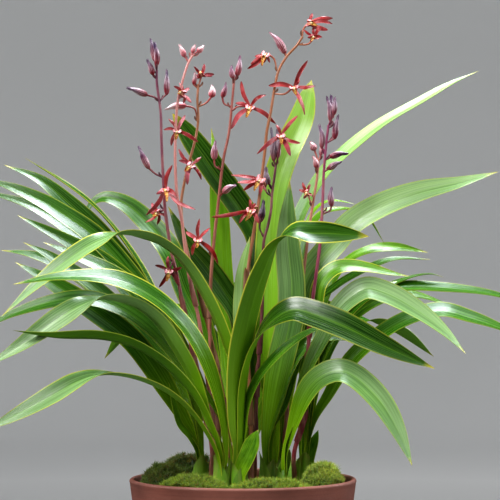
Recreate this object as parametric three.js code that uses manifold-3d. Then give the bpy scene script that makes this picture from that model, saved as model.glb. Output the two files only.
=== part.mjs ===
// A potted ink orchid in flower: a plain clay pot filled with planting mix, cushions of moss on
// top, twelve leafy shoots and eight flower spikes. Millimetres, +Z up, the front towards -Y.
// The origin is the middle of the pot's flat base.
import * as THREE from "three";
import { mergeVertices } from "three/addons/utils/BufferGeometryUtils.js";
import Module from "manifold-3d";

const wasm = await Module();
wasm.setup();

// Pot
const POT_HEIGHT = 210;
const RIM_RADIUS = 112.5;
const BASE_RADIUS = 84;
const WALL = 5.5;
const FLOOR = 7;
const LIP_ROUND = 1.8;
const FOOT_CHAMFER = 2;
const POT_SIDES = 36;
const DRAIN_RADIUS = 6;
const DRAIN_CIRCLE = 42;
const DRAIN_HOLES = 4;

// Planting mix and what stands in it
const SOIL_TOP = 200;
const GAP = 0.35;
const SLIVER = 0.3;
const SHOOT_HOLE_DEPTH = 8;
const STEM_HOLE_DEPTH = 12;
const BULB_RADIUS = 7.6;
const BULB_HEIGHT = 20;
const STEM_RADIUS = 2.3;
const STEM_TOP_RADIUS = 1.2;
const STEM_STEPS = 10;
const SHEATH_RADIUS = 3.4;
const SHEATH_LENGTH = 34;
const HOLE_SIDES = 6;
const BULB_SIDES = 6;

// Leaves and flowers
const LEAF_STEPS = 8;
const SMALL_LEAF_STEPS = 6;
const LEAF_EDGE = 0.7;
const LEAF_RIB = 1.3;
const LEAF_FOLD = 0.16;
const LEAF_TAPER = { power: 2.1, end: 0.05 };
const BLUNT_TAPER = { power: 7, end: 0.4 };
const TEPAL_WIDTH = 6.4;
const TEPAL_THICKNESS = 0.9;
const TEPAL_STEPS = 2;
const HEART_RADIUS = 2.1;
const PEDICEL_RADIUS = 0.9;
const BUD_RADIUS = 2.9;

// Each route below gives a point's x and z as they are seen in the plane of the pot's axis from
// an eye 1.5 m in front of it, and y as the real depth, so a nearer point is drawn in towards
// the eye and a farther one is spread.
const EYE = { x: 7, z: 347, distance: 1500 };

function seen([x, y, z]) {
  const spread = 1 + y / EYE.distance;
  return new THREE.Vector3(EYE.x + (x - EYE.x) * spread, y, EYE.z + (z - EYE.z) * spread);
}

function solid(geometry) {
  const bare = geometry.clone();
  bare.deleteAttribute("normal");
  bare.deleteAttribute("uv");
  const merged = mergeVertices(bare, 1e-4);
  const vertProperties = new Float32Array(merged.attributes.position.array);
  const triVerts = new Uint32Array(merged.index.array);
  const body = new wasm.Manifold(new wasm.Mesh({ numProp: 3, vertProperties, triVerts }));
  if (body.volume() > 0) return body;
  // Its faces point inwards, so each one is turned round.
  triVerts.reverse();
  return new wasm.Manifold(new wasm.Mesh({ numProp: 3, vertProperties, triVerts }));
}

function closedMesh(rings) {
  const sides = rings[0].length;
  const points = rings.flat();
  const triangles = [];
  for (let i = 0; i < rings.length - 1; i++)
    for (let j = 0; j < sides; j++) {
      const a = i * sides + j;
      const b = i * sides + ((j + 1) % sides);
      const [c, d] = [a + sides, b + sides];
      // Opposite faces of a blade are split along the same diagonal.
      if (j < sides / 2) triangles.push(a, b, d, a, d, c);
      else triangles.push(a, b, c, b, d, c);
    }
  const last = (rings.length - 1) * sides;
  for (let j = 1; j < sides - 1; j++) {
    triangles.push(0, j + 1, j);
    triangles.push(last, last + j, last + j + 1);
  }
  const geometry = new THREE.BufferGeometry();
  const numbers = points.flatMap((p) => p.toArray());
  geometry.setAttribute("position", new THREE.Float32BufferAttribute(numbers, 3));
  geometry.setIndex(triangles);
  return geometry.toNonIndexed();
}

// A curve through the points, with places along it that stand closer together where it bends.
function course(points, steps) {
  const curve = new THREE.CatmullRomCurve3(points, false, "centripetal");
  const fine = 240;
  const reach = [0];
  let before = curve.getTangent(0);
  for (let i = 1; i <= fine; i++) {
    const tangent = curve.getTangent(i / fine);
    const length = curve.getPoint(i / fine).distanceTo(curve.getPoint((i - 1) / fine));
    reach.push(reach[i - 1] + length + 22 * tangent.angleTo(before));
    before = tangent;
  }
  const places = [];
  for (let i = 0, k = 0; i <= steps; i++) {
    const wanted = (reach[fine] * i) / steps;
    while (k < fine - 1 && reach[k + 1] < wanted) k++;
    const part = (wanted - reach[k]) / (reach[k + 1] - reach[k] || 1);
    places.push(Math.min(1, (k + part) / fine));
  }
  return { curve, places };
}

// How wide a leaf is along its length, as a share of its full width: a folded stalk, a long
// strap and a drawn-out point.
function leafShare(s, { power, end }) {
  if (s < 0.42) return 0.36 + 0.64 * THREE.MathUtils.smoothstep(s, 0.04, 0.42);
  if (s < 0.66) return 1;
  const t = (s - 0.66) / 0.34;
  return Math.max(end, 1 - Math.pow(t, power));
}

function tepalShare(s) {
  return Math.max(0.2, Math.sin(Math.PI * Math.min(1, 0.08 + 0.92 * Math.pow(s, 0.85))));
}

// A thin blade along a route. A tilt of 0 turns its upper face towards the side it is seen
// from, 90 lays it flat and more shows its underside.
function blade({ points, tilts, width, share, steps, from, edge, rib, fold }) {
  const { curve, places } = course(points, steps);
  const face = from.clone().normalize();
  const right = new THREE.Vector3(0, 0, 1).cross(face);
  const side = Math.sign(points.at(-1).clone().sub(points[0]).dot(right)) || 1;
  const length = curve.getLength();
  let run = 0;
  let last = points[0];
  const rings = places.map((place) => {
    const centre = curve.getPoint(place);
    run += centre.distanceTo(last);
    last = centre;
    const along = curve.getTangent(place).normalize();
    const front = face.clone().addScaledVector(along, -face.dot(along)).normalize();
    const across = along.clone().cross(front);
    const at = place * (tilts.length - 1);
    const k = Math.min(tilts.length - 2, Math.floor(at));
    const turn = (side * (tilts[k] + (tilts[k + 1] - tilts[k]) * (at - k)) * Math.PI) / 180;
    const wide = across.clone().multiplyScalar(Math.cos(turn)).addScaledVector(front, Math.sin(turn));
    const up = front.clone().multiplyScalar(Math.cos(turn)).addScaledVector(across, -Math.sin(turn));
    const half = Math.max(0.55, (width * share(Math.min(1, run / length))) / 2);
    const middle = rib ? Math.max(edge, rib * Math.min(1, half / 5)) : edge;
    const spot = (u, v) => centre.clone().addScaledVector(wide, u).addScaledVector(up, v);
    const lift = fold * half;
    const thick = edge / 2;
    if (!rib) return [spot(-half, thick), spot(-half, -thick), spot(half, -thick), spot(half, thick)];
    return [
      spot(-half, lift + thick),
      spot(-half, lift - thick),
      spot(0, -middle / 2),
      spot(half, lift - thick),
      spot(half, lift + thick),
      spot(0, middle / 2),
    ];
  });
  return solid(closedMesh(rings));
}

function tube(points, radius, sides, steps) {
  const { curve, places } = course(points, steps);
  return tubeAt(curve, places, () => radius, sides);
}

function tubeAt(curve, places, radii, sides) {
  let front = new THREE.Vector3(0, -1, 0.01);
  const rings = places.map((place) => {
    const along = curve.getTangent(place).normalize();
    front = front.clone().addScaledVector(along, -front.dot(along)).normalize();
    const across = along.clone().cross(front);
    const radius = radii(place);
    return Array.from({ length: sides }, (_, j) => {
      const angle = (2 * Math.PI * (j + 0.5)) / sides;
      return curve
        .getPoint(place)
        .addScaledVector(front, radius * Math.cos(angle))
        .addScaledVector(across, radius * Math.sin(angle));
    });
  });
  return solid(closedMesh(rings));
}

function turned(profile, sides) {
  const geometry = new THREE.LatheGeometry(
    profile.map(([r, z]) => new THREE.Vector2(r, z)),
    sides,
  );
  geometry.rotateX(Math.PI / 2);
  return solid(geometry);
}

// What grows together is one body: the largest outer shell, with no closed pocket inside and no
// edges shorter than a sliver.
function grown(solids) {
  const whole = solids.reduce((sum, next) => sum.add(next)).simplify(SLIVER);
  return whole.decompose().sort((a, b) => b.volume() - a.volume())[0];
}

// Leaf routes: [x, y, z, tilt] from low on the stalk to the tip

const leaf = (width, ...route) => ({ width, route, taper: LEAF_TAPER });
const bluntLeaf = (width, ...route) => ({ width, route, taper: BLUNT_TAPER });

const SHOOTS = [
  {
    name: "shoot_front_left",
    foot: [-21, -41],
    leaves: [
      leaf(25, [-19, -43, 236, 60], [-25, -47, 286, 58], [-41, -54, 332, 56], [-62, -59, 364, 55],
        [-93, -64, 391, 55], [-130, -70, 407, 50], [-180, -77, 409, 55], [-230, -84, 402, 60]),
      leaf(27, [-23, -44, 236, 120], [-35, -50, 262, 122], [-50, -55, 308, 124], [-68, -58, 341, 122],
        [-85, -60, 364, 118], [-105, -62, 379, 112], [-128, -64, 386, 105], [-143, -66, 387, 88],
        [-163, -70, 380, 45], [-183, -74, 368, 28], [-223, -82, 340, 25], [-256, -88, 320, 30]),
      leaf(24, [-24, -46, 234, 112], [-45, -60, 284, 112], [-67, -66, 311, 112], [-89, -70, 329, 112],
        [-113, -73, 342, 114], [-143, -77, 349, 112], [-193, -84, 350, 108], [-230, -90, 356, 100]),
      leaf(25, [-26, -48, 230, 100], [-38, -60, 255, 102], [-54, -70, 276, 102], [-76, -80, 294, 100],
        [-105, -90, 307, 100], [-133, -96, 312, 92], [-150, -99, 310, 72], [-168, -102, 303, 48],
        [-188, -106, 292, 35], [-233, -114, 268, 28], [-256, -118, 257, 30]),
    ],
  },
  {
    name: "shoot_middle_left",
    foot: [-8, -8],
    leaves: [
      leaf(25, [-10, -8, 240, 120], [-10, -8, 290, 122], [-11, -9, 324, 122], [-18, -10, 346, 120],
        [-28, -11, 370, 118], [-50, -14, 411, 114], [-66, -18, 431, 112], [-85, -21, 444, 110],
        [-104, -25, 450, 108], [-124, -29, 452, 88], [-140, -33, 447, 50], [-158, -38, 438, 38],
        [-200, -49, 407, 35], [-241, -60, 370, 45]),
      leaf(20, [-14, -11, 244, 90], [-24, -18, 268, 80], [-34, -22, 286, 70], [-55, -24, 312, 60],
        [-88, -26, 352, 50], [-122, -27, 377, 45], [-160, -28, 388, 40], [-225, -30, 374, 40],
        [-262, -32, 356, 40]),
    ],
  },
  {
    name: "shoot_left",
    foot: [-42, -10],
    leaves: [
      leaf(25, [-43, -11, 236, 70], [-60, -12, 268, 45], [-76, -12, 296, 35], [-94, -11, 324, 30],
        [-114, -10, 348, 28], [-143, -9, 371, 28], [-193, -8, 404, 35], [-228, -8, 424, 45]),
      leaf(22, [-43, -8, 240, 60], [-50, -4, 290, 55], [-70, 0, 343, 50], [-96, 2, 383, 45],
        [-128, 4, 411, 45], [-163, 6, 429, 42], [-200, 8, 444, 50]),
      leaf(20, [-44, -8, 240, 60], [-50, -2, 270, 60], [-66, 4, 300, 50], [-95, 10, 345, 45],
        [-130, 15, 382, 42], [-163, 19, 410, 40], [-195, 23, 431, 40], [-220, 26, 444, 50]),
      leaf(20, [-43, -5, 240, 70], [-54, 4, 265, 60], [-80, 16, 315, 50], [-115, 28, 362, 45],
        [-150, 36, 398, 40], [-183, 40, 421, 40], [-213, 43, 432, 40], [-242, 46, 436, 50]),
      leaf(9, [-46, -14, 236, 60], [-53, -20, 250, 60], [-63, -26, 262, 60], [-69, -30, 282, 55],
        [-74, -33, 304, 60]),
    ],
  },
  {
    name: "shoot_back_left",
    foot: [-26, 30],
    leaves: [
      leaf(20, [-27, 31, 250, 80], [-43, 33, 286, 82], [-69, 35, 346, 82], [-90, 38, 396, 82],
        [-104, 40, 421, 82], [-130, 44, 458, 82], [-153, 48, 483, 82], [-183, 54, 506, 80],
        [-219, 60, 529, 80]),
      leaf(24, [-28, 33, 260, 40], [-40, 44, 290, 35], [-63, 56, 336, 30], [-103, 74, 401, 28],
        [-143, 86, 451, 25], [-173, 93, 481, 25], [-203, 98, 506, 30], [-240, 104, 522, 45]),
      leaf(24, [-28, 34, 250, 45], [-45, 38, 292, 40], [-76, 46, 356, 35], [-111, 54, 408, 32],
        [-148, 62, 449, 30], [-183, 70, 474, 30], [-203, 74, 486, 32], [-243, 82, 503, 35],
        [-262, 86, 506, 40]),
      leaf(20, [-28, 36, 245, 50], [-48, 54, 286, 45], [-80, 76, 345, 40], [-118, 98, 398, 35],
        [-150, 122, 438, 32], [-183, 136, 464, 32], [-213, 146, 481, 35], [-265, 157, 497, 45]),
      leaf(22, [-28, 32, 245, 60], [-42, 38, 276, 50], [-66, 44, 331, 42], [-103, 48, 391, 38],
        [-140, 50, 424, 36], [-163, 51, 438, 34], [-205, 53, 460, 36], [-226, 54, 471, 45]),
      leaf(26, [-26, 36, 250, 60], [-24, 44, 290, 50], [-34, 56, 330, 40], [-44, 66, 366, 30],
        [-58, 74, 396, 25], [-71, 80, 430, 22], [-86, 92, 453, 22], [-99, 100, 467, 22],
        [-114, 106, 480, 24], [-128, 110, 487, 28], [-140, 113, 489, 32], [-151, 115, 483, 45],
        [-163, 117, 460, 62]),
    ],
  },
  {
    name: "shoot_back_middle",
    foot: [0, 36],
    leaves: [
      leaf(24, [1, 37, 256, 30], [1, 38, 316, 22], [-4, 39, 370, 18], [-21, 40, 398, 15],
        [-36, 41, 419, 15], [-56, 42, 443, 15], [-75, 42, 480, 22]),
      bluntLeaf(28, [2, 40, 256, 40], [8, 48, 300, 30], [17, 54, 350, 22], [19, 58, 406, 18],
        [14, 60, 451, 15], [-1, 61, 476, 15], [-21, 62, 504, 15], [-40, 63, 531, 16],
        [-71, 65, 574, 22]),
      leaf(22, [-3, 44, 240, 40], [-11, 60, 286, 30], [-17, 74, 366, 20], [-21, 82, 416, 15],
        [-25, 87, 486, 14], [-29, 89, 536, 20], [-32, 90, 559, 30]),
      leaf(20, [2, 34, 246, 50], [2, 32, 290, 40], [0, 30, 340, 35], [0, 29, 411, 28],
        [7, 29, 450, 30]),
    ],
  },
  {
    name: "shoot_front_middle",
    foot: [-5, -37],
    leaves: [
      leaf(28, [-4, -37, 240, 140], [-7, -40, 262, 142], [-5, -44, 306, 142], [0, -47, 342, 140],
        [13, -53, 394, 136], [21, -56, 416, 130], [31, -59, 438, 110], [42, -61, 450, 80],
        [54, -62, 454, 45], [68, -62, 453, 30], [85, -62, 453, 25], [126, -62, 450, 35]),
      leaf(28, [0, -36, 256, 120], [3, -40, 306, 110], [14, -46, 345, 90], [31, -54, 366, 60],
        [50, -62, 376, 35], [70, -69, 372, 22], [99, -79, 361, 16], [135, -89, 343, 17],
        [172, -98, 326, 24], [191, -102, 318, 32]),
      leaf(16, [2, -35, 250, 70], [5, -36, 281, 66], [14, -40, 304, 62], [25, -44, 320, 60],
        [47, -48, 342, 60], [70, -52, 356, 62], [92, -54, 362, 66]),
      leaf(17, [-2, -42, 216, 30], [5, -46, 232, 25], [15, -48, 257, 25]),
    ],
  },
  {
    name: "shoot_middle",
    foot: [24, -6],
    leaves: [
      leaf(28, [25, -5, 246, 20], [30, -4, 286, 16], [38, -2, 326, 12], [47, 0, 366, 10],
        [49, 1, 396, 10], [45, 2, 446, 10], [45, 2, 471, 12], [47, 2, 506, 20]),
      leaf(20, [25, -6, 246, 60], [29, -5, 266, 55], [36, -4, 290, 50], [44, -3, 314, 46],
        [54, -2, 333, 40], [66, -2, 345, 32], [84, -6, 350, 32],
        [110, -10, 346, 38]),
      leaf(14, [26, -7, 250, 70], [42, -6, 281, 64], [50, -4, 306, 60], [57, -2, 326, 58],
        [64, 0, 342, 60]),
    ],
  },
  {
    name: "shoot_front_right",
    foot: [40, -26],
    leaves: [
      leaf(25, [43, -28, 240, 80], [52, -28, 266, 78], [58, -28, 296, 75], [68, -29, 322, 65],
        [82, -31, 350, 55], [97, -34, 378, 42], [122, -39, 397, 30], [142, -42, 393, 28],
        [172, -47, 377, 28], [200, -54, 356, 32], [222, -60, 333, 42]),
      leaf(25, [43, -28, 232, 60], [47, -32, 247, 60], [54, -37, 271, 50], [62, -42, 291, 42],
        [73, -48, 306, 36], [87, -54, 314, 30], [99, -59, 315, 26], [112, -63, 309, 24],
        [135, -71, 287, 22], [153, -79, 258, 26], [168, -87, 222, 36]),
    ],
  },
  {
    name: "shoot_right",
    foot: [64, 2],
    leaves: [
      leaf(26, [66, 0, 240, 70], [72, -2, 266, 66], [87, -5, 292, 62], [102, -8, 317, 60],
        [119, -11, 336, 58], [157, -16, 363, 56], [197, -20, 375, 56], [227, -24, 368, 56],
        [257, -28, 358, 58], [290, -32, 344, 62]),
      leaf(24, [65, 4, 256, 70], [70, 8, 300, 68], [82, 14, 335, 66], [102, 20, 368, 64],
        [127, 26, 390, 64], [157, 31, 398, 64], [197, 36, 398, 62], [257, 44, 390, 62],
        [285, 47, 380, 64]),
      leaf(16, [64, 4, 256, 70], [67, 10, 300, 70], [80, 20, 350, 70], [110, 30, 384, 70],
        [142, 38, 399, 70], [172, 41, 410, 70], [189, 42, 412, 72], [201, 43, 409, 75]),
      leaf(20, [66, 6, 256, 60], [71, 10, 320, 55], [74, 10, 370, 50], [78, 8, 402, 45],
        [90, 6, 416, 40], [104, 4, 420, 38], [125, 2, 418, 38], [147, 0, 413, 45],
        [166, -2, 410, 50]),
      leaf(13, [66, -4, 222, 50], [70, -5, 240, 50], [75, -5, 257, 50]),
    ],
  },
  {
    name: "shoot_back_right",
    foot: [34, 32],
    leaves: [
      bluntLeaf(29, [33, 33, 256, 30], [27, 34, 306, 25], [25, 35, 386, 20], [27, 36, 446, 16],
        [33, 38, 501, 14], [44, 40, 535, 14], [52, 41, 552, 14], [60, 42, 571, 15],
        [69, 43, 608, 25]),
      leaf(26, [38, 34, 256, 70], [42, 38, 316, 65], [46, 42, 396, 62], [51, 47, 446, 60],
        [58, 50, 471, 60], [79, 55, 508, 60], [97, 59, 528, 60], [135, 66, 560, 60],
        [177, 73, 585, 60], [209, 79, 604, 60], [237, 83, 617, 62]),
      leaf(27, [40, 31, 256, 40], [46, 30, 300, 35], [53, 29, 366, 30], [66, 27, 411, 25],
        [81, 25, 431, 20], [92, 23, 443, 18], [109, 20, 463, 18], [137, 16, 480, 18],
        [177, 10, 495, 18], [217, 5, 504, 22], [256, 0, 515, 30]),
      leaf(16, [44, 40, 256, 60], [50, 48, 320, 60], [54, 56, 400, 60], [62, 62, 440, 60],
        [70, 66, 462, 60], [82, 69, 474, 62], [97, 71, 477, 70], [109, 72, 477, 85],
        [122, 73, 472, 100], [142, 75, 442, 105]),
      leaf(13, [42, 44, 256, 70], [48, 60, 330, 65], [52, 74, 400, 62], [60, 82, 440, 60],
        [68, 85, 470, 62], [78, 87, 482, 64], [90, 88, 486, 66], [115, 90, 482, 75]),
    ],
  },
  {
    name: "shoot_back_far_right",
    foot: [60, 36],
    leaves: [
      leaf(20, [58, 37, 256, 75], [60, 40, 300, 72], [64, 44, 350, 70], [72, 48, 382, 68],
        [87, 50, 394, 68], [107, 52, 408, 68], [147, 56, 426, 68], [187, 60, 427, 70]),
      leaf(20, [62, 39, 256, 70], [66, 50, 310, 66], [73, 60, 362, 64], [82, 66, 386, 64],
        [92, 69, 408, 62], [107, 72, 426, 70], [127, 74, 436, 85], [152, 76, 439, 60],
        [185, 79, 434, 60]),
      leaf(18, [66, 40, 250, 60], [76, 48, 310, 55], [94, 56, 350, 50], [117, 60, 375, 48],
        [140, 62, 388, 46], [167, 64, 392, 46], [208, 66, 381, 52]),
    ],
  },
  {
    name: "shoot_back",
    foot: [4, 68],
    seenFrom: [1, 0, 0],
    leaves: [
      leaf(24, [4, 72, 250, 95], [2, 86, 320, 92], [-4, 114, 380, 90], [-14, 152, 402, 85],
        [-24, 192, 396, 80], [-36, 246, 344, 75]),
      leaf(24, [8, 72, 250, 80], [22, 92, 325, 82], [44, 124, 375, 80], [72, 160, 385, 76],
        [98, 190, 366, 74], [118, 212, 336, 72]),
      leaf(24, [0, 72, 250, 100], [-20, 90, 320, 100], [-50, 116, 366, 98], [-84, 146, 378, 96],
        [-114, 172, 360, 92], [-138, 192, 328, 90]),
      leaf(22, [10, 71, 250, 80], [40, 88, 310, 76], [78, 108, 350, 74], [118, 128, 366, 72],
        [156, 146, 356, 72], [190, 160, 330, 72]),
    ],
  },
];

// A spike is a stem's route with buds on stalks and open flowers. A bud has the points of its
// stalk, from the stem to the bud's base, and its tip.
const bud = (stalk, tip, size = 1) => ({ stalk, tip, size });
// A flower has the points of its stalk, the tips of its sepals and petals, and the lip's tip.
const flower = (stalk, tips, lip) => ({ stalk, tips, lip });

const SPIKES = [
  {
    name: "spike_far_left",
    foot: [-30, -22],
    stem: [[-31, -20, 240], [-37, -12, 270], [-45, -4, 310], [-55, 2, 356], [-61, 4, 386], [-66, 5, 411],
      [-71, 5, 431], [-78, 2, 476], [-80, 0, 506], [-82, -2, 546], [-83, -3, 576], [-87, -4, 606],
      [-87, -4, 618]],
    buds: [
      bud([[-87, -4, 610], [-91, -6, 614]], [-97, -8, 630]),
      bud([[-87, -4, 616], [-89, -3, 628]], [-94, -2, 652]),
      bud([[-87, -4, 617], [-87, -6, 624]], [-90, -8, 648]),
      bud([[-83, -3, 588], [-77, -3, 594]], [-77, -3, 620]),
      bud([[-83, -3, 586], [-88, -5, 590], [-97, -7, 593]], [-118, -11, 601], 1.15),
      bud([[-80, 0, 509], [-88, -3, 513], [-95, -5, 519]], [-106, -8, 542], 1.1),
    ],
    flowers: [
      flower([[-80, 0, 497], [-78, -6, 498]], [[-71, -12, 522], [-97, -14, 471], [-48, -13, 476],
        [-86, -16, 493], [-66, -18, 489]], [-75, -20, 486]),
      flower([[-78, 2, 478], [-84, 4, 474]], [[-98, 2, 464], [-92, 8, 484], [-74, 8, 466], [-96, 10, 476],
        [-86, 12, 462]], [-92, 0, 470]),
      flower([[-70, 5, 426], [-74, 2, 416]], [[-88, 0, 421], [-61, 0, 419], [-84, 3, 399], [-64, 3, 401],
        [-75, 6, 431]], [-76, -6, 404]),
    ],
  },
  {
    name: "spike_left_pale",
    foot: [-27, 6],
    stem: [[-27, 7, 240], [-30, 9, 270], [-36, 11, 310], [-44, 13, 366], [-54, 14, 410], [-59, 14, 446],
      [-62, 14, 470], [-66, 14, 490], [-68, 14, 520], [-68, 14, 551], [-66, 14, 585], [-60, 14, 611],
      [-55, 14, 626], [-51, 14, 633]],
    buds: [
      bud([[-55, 14, 627], [-59, 13, 632]], [-65, 12, 645]),
      bud([[-52, 14, 631], [-51, 14, 636]], [-48, 14, 645], 0.8),
      bud([[-52, 14, 632], [-46, 15, 637]], [-39, 16, 644]),
    ],
    flowers: [
      flower([[-65, 14, 590], [-60, 14, 594]], [[-70, 12, 602], [-52, 12, 585], [-60, 16, 584],
        [-54, 18, 600], [-64, 20, 606]], [-68, 16, 596]),
      flower([[-68, 14, 548], [-66, 18, 557]], [[-80, 14, 558], [-76, 16, 568], [-45, 14, 545],
        [-58, 20, 572], [-72, 22, 541]], [-68, 10, 547]),
    ],
  },
  {
    name: "spike_left_nodding",
    foot: [-12, 14],
    stem: [[-13, 15, 240], [-18, 18, 280], [-28, 21, 330], [-40, 23, 380], [-52, 24, 420], [-60, 25, 456],
      [-62, 25, 484], [-59, 25, 504], [-54, 25, 526], [-50, 25, 540], [-47, 25, 553], [-45, 25, 570],
      [-46, 25, 588], [-45, 25, 604]],
    buds: [
      bud([[-46, 25, 600], [-50, 24, 604]], [-49, 23, 617], 0.8),
      bud([[-45, 25, 581], [-37, 26, 585], [-32, 27, 591]], [-32, 27, 604], 1.3),
      bud([[-46, 25, 567], [-49, 25, 579], [-58, 25, 582]], [-80, 25, 578], 1.3),
    ],
    flowers: [
      flower([[-45, 25, 602], [-42, 25, 612]], [[-50, 24, 622], [-29, 25, 614], [-31, 28, 611],
        [-50, 28, 612], [-39, 26, 625]], [-44, 20, 618]),
      flower([[-55, 25, 524], [-52, 20, 522]], [[-65, 22, 538], [-65, 22, 526], [-41, 20, 507],
        [-56, 20, 502], [-42, 24, 530]], [-60, 17, 514]),
    ],
  },
  {
    name: "spike_middle_left",
    foot: [-24, -8],
    stem: [[-24, -8, 240], [-26, -6, 280], [-30, -2, 320], [-33, 2, 350], [-33, 4, 381], [-32, 5, 410],
      [-30, 5, 436], [-28, 4, 456], [-24, 2, 491], [-20, 0, 526], [-14, -2, 556], [-11, -3, 586],
      [-9, -3, 608]],
    buds: [
      bud([[-9, -3, 607], [-6, -2, 613]], [-3, 0, 634], 1.1),
      bud([[-10, -3, 604], [-10, -5, 610]], [-12, -8, 624]),
      bud([[-12, -3, 581], [-19, -5, 584], [-21, -6, 591]], [-17, -7, 607]),
      bud([[-22, 0, 517], [-28, -3, 521], [-29, -4, 528]], [-28, -5, 548], 1.2),
      bud([[-24, 2, 491], [-20, -2, 494]], [-6, -4, 502], 1.2),
    ],
    flowers: [
      flower([[-12, -3, 577], [-5, -4, 581], [7, -5, 581]], [[-2, -6, 607], [-8, -8, 585], [23, -8, 594],
        [-12, -6, 558], [32, -5, 562]], [3, -12, 569]),
      flower([[-30, 5, 432], [-38, 4, 440], [-45, 3, 447]], [[-43, 2, 468], [-33, 2, 459], [-24, 4, 422],
        [-58, 3, 455], [-51, 5, 431]], [-46, -5, 438]),
    ],
  },
  {
    name: "spike_tallest",
    foot: [8, -12],
    stem: [[8, -12, 240], [7, -13, 290], [4, -14, 340], [3, -15, 396], [5, -15, 416], [11, -15, 456],
      [16, -15, 486], [19, -15, 511], [22, -15, 536], [24, -15, 556], [28, -15, 576], [32, -15, 601],
      [36, -15, 618], [44, -15, 632], [54, -15, 643], [60, -15, 652]],
    buds: [
      bud([[44, -15, 632], [42, -14, 636]], [26, -12, 658], 1.3),
    ],
    flowers: [
      flower([[60, -15, 652], [61, -15, 660], [66, -15, 666]], [[84, -13, 672], [91, -16, 671],
        [91, -19, 667], [86, -20, 659], [70, -12, 676]], [76, -22, 664]),
      flower([[55, -15, 644], [66, -16, 645], [72, -17, 652]], [[72, -17, 664], [80, -22, 663],
        [62, -22, 660], [66, -24, 651], [80, -24, 652]], [68, -25, 648]),
      flower([[34, -15, 618], [31, -15, 630], [23, -15, 635]], [[4, -17, 619], [8, -19, 624], [27, -20, 626],
        [12, -13, 632], [20, -12, 625]], [17, -22, 622]),
      flower([[32, -15, 594], [42, -17, 594], [51, -18, 601]], [[65, -20, 628], [25, -19, 602],
        [73, -20, 603], [66, -22, 574], [56, -16, 611]], [53, -25, 592]),
      flower([[18, -15, 498], [22, -19, 503], [18, -20, 508]], [[-12, -20, 511], [-6, -23, 505],
        [0, -22, 496], [17, -24, 492], [24, -23, 496]], [9, -26, 495]),
      flower([[14, -15, 472], [14, -20, 480], [8, -22, 477]], [[-32, -22, 469], [13, -25, 483],
        [-4, -26, 463], [16, -27, 463], [7, -24, 488]], [4, -30, 464]),
    ],
  },
  {
    name: "spike_dark",
    foot: [12, 8],
    stem: [[12, 8, 240], [13, 8, 280], [15, 8, 316], [19, 8, 376], [20, 8, 420], [21, 8, 446],
      [25, 8, 461], [28, 8, 476], [29, 8, 491], [31, 8, 506], [33, 8, 522]],
    buds: [
      bud([[33, 8, 519], [31, 8, 527]], [28, 10, 562], 1.1),
      bud([[33, 8, 521], [35, 10, 530]], [34, 13, 560], 1.1),
      bud([[30, 8, 498], [26, 6, 503]], [23, 4, 521]),
      bud([[29, 8, 490], [24, 5, 494], [22, 4, 500]], [22, 3, 520], 0.9),
      bud([[21, 8, 450], [17, 6, 457], [17, 5, 465]], [21, 4, 488], 1.2),
    ],
    flowers: [
      flower([[33, 8, 521], [37, 2, 540], [38, -3, 552]], [[55, -5, 573], [14, -29, 533], [58, -5, 544],
        [48, -6, 531], [33, -4, 563]], [39, -10, 542]),
    ],
  },
  {
    name: "spike_right",
    foot: [42, 4],
    stem: [[42, 6, 240], [44, 9, 280], [50, 11, 330], [56, 12, 376], [61, 12, 416], [66, 12, 456],
      [69, 12, 476], [72, 12, 494], [74, 12, 506], [75, 12, 516], [76, 12, 527]],
    buds: [
      bud([[76, 12, 525], [72, 12, 537]], [67, 12, 546], 1.2),
      bud([[75, 12, 514], [74, 10, 519]], [70, 8, 532]),
      bud([[76, 12, 526], [78, 13, 532]], [79, 14, 545], 0.8),
    ],
    flowers: [
      flower([[70, 12, 481], [67, 10, 487], [65, 9, 494]], [[60, 7, 505], [56, 8, 497], [68, 8, 503],
        [61, 12, 488], [70, 8, 490]], [61, 4, 492]),
    ],
  },
  {
    name: "spike_far_right",
    foot: [50, -10],
    stem: [[51, -10, 235], [57, -10, 256], [60, -11, 271], [63, -12, 310], [66, -13, 350], [69, -14, 381],
      [73, -15, 411], [77, -15, 441], [80, -13, 486], [81, -12, 511], [83, -11, 536], [84, -10, 546],
      [86, -10, 562]],
    buds: [
      bud([[86, -10, 560], [88, -10, 567]], [84, -11, 593]),
      bud([[86, -10, 561], [90, -8, 570]], [89, -6, 594]),
      bud([[86, -10, 562], [91, -12, 573]], [93, -13, 592]),
      bud([[84, -10, 544], [92, -10, 549]], [96, -10, 574], 1.1),
      bud([[83, -11, 534], [79, -10, 540]], [76, -9, 564]),
      bud([[83, -11, 527], [88, -11, 530]], [107, -11, 534], 1.1),
      bud([[81, -12, 515], [86, -14, 518]], [100, -16, 526], 1.1),
      bud([[81, -12, 473], [87, -13, 476], [89, -14, 481]], [89, -15, 501], 1.1),
    ],
    flowers: [],
  },
];

// Moss cushions: middle, reach across and back, height, and a turn of their uneven outline
const CUSHIONS = [
  { name: "moss_left", middle: [-78, -6], reach: [21, 38], height: 22, turn: 0.4 },
  { name: "moss_back_left", middle: [-56, 66], reach: [32, 22], height: 26, turn: 2.1 },
  { name: "moss_front", middle: [-48, -74], reach: [32, 22], height: 17, turn: 1.2 },
  { name: "moss_front_right", middle: [28, -74], reach: [38, 21], height: 14, turn: 3.3 },
  { name: "moss_right", middle: [78, -34], reach: [20, 28], height: 25, turn: 4.4 },
  { name: "moss_back_right", middle: [60, 72], reach: [30, 18], height: 18, turn: 5.2 },
];

const root = new THREE.Group();
root.name = "potted_ink_orchid";

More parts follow.
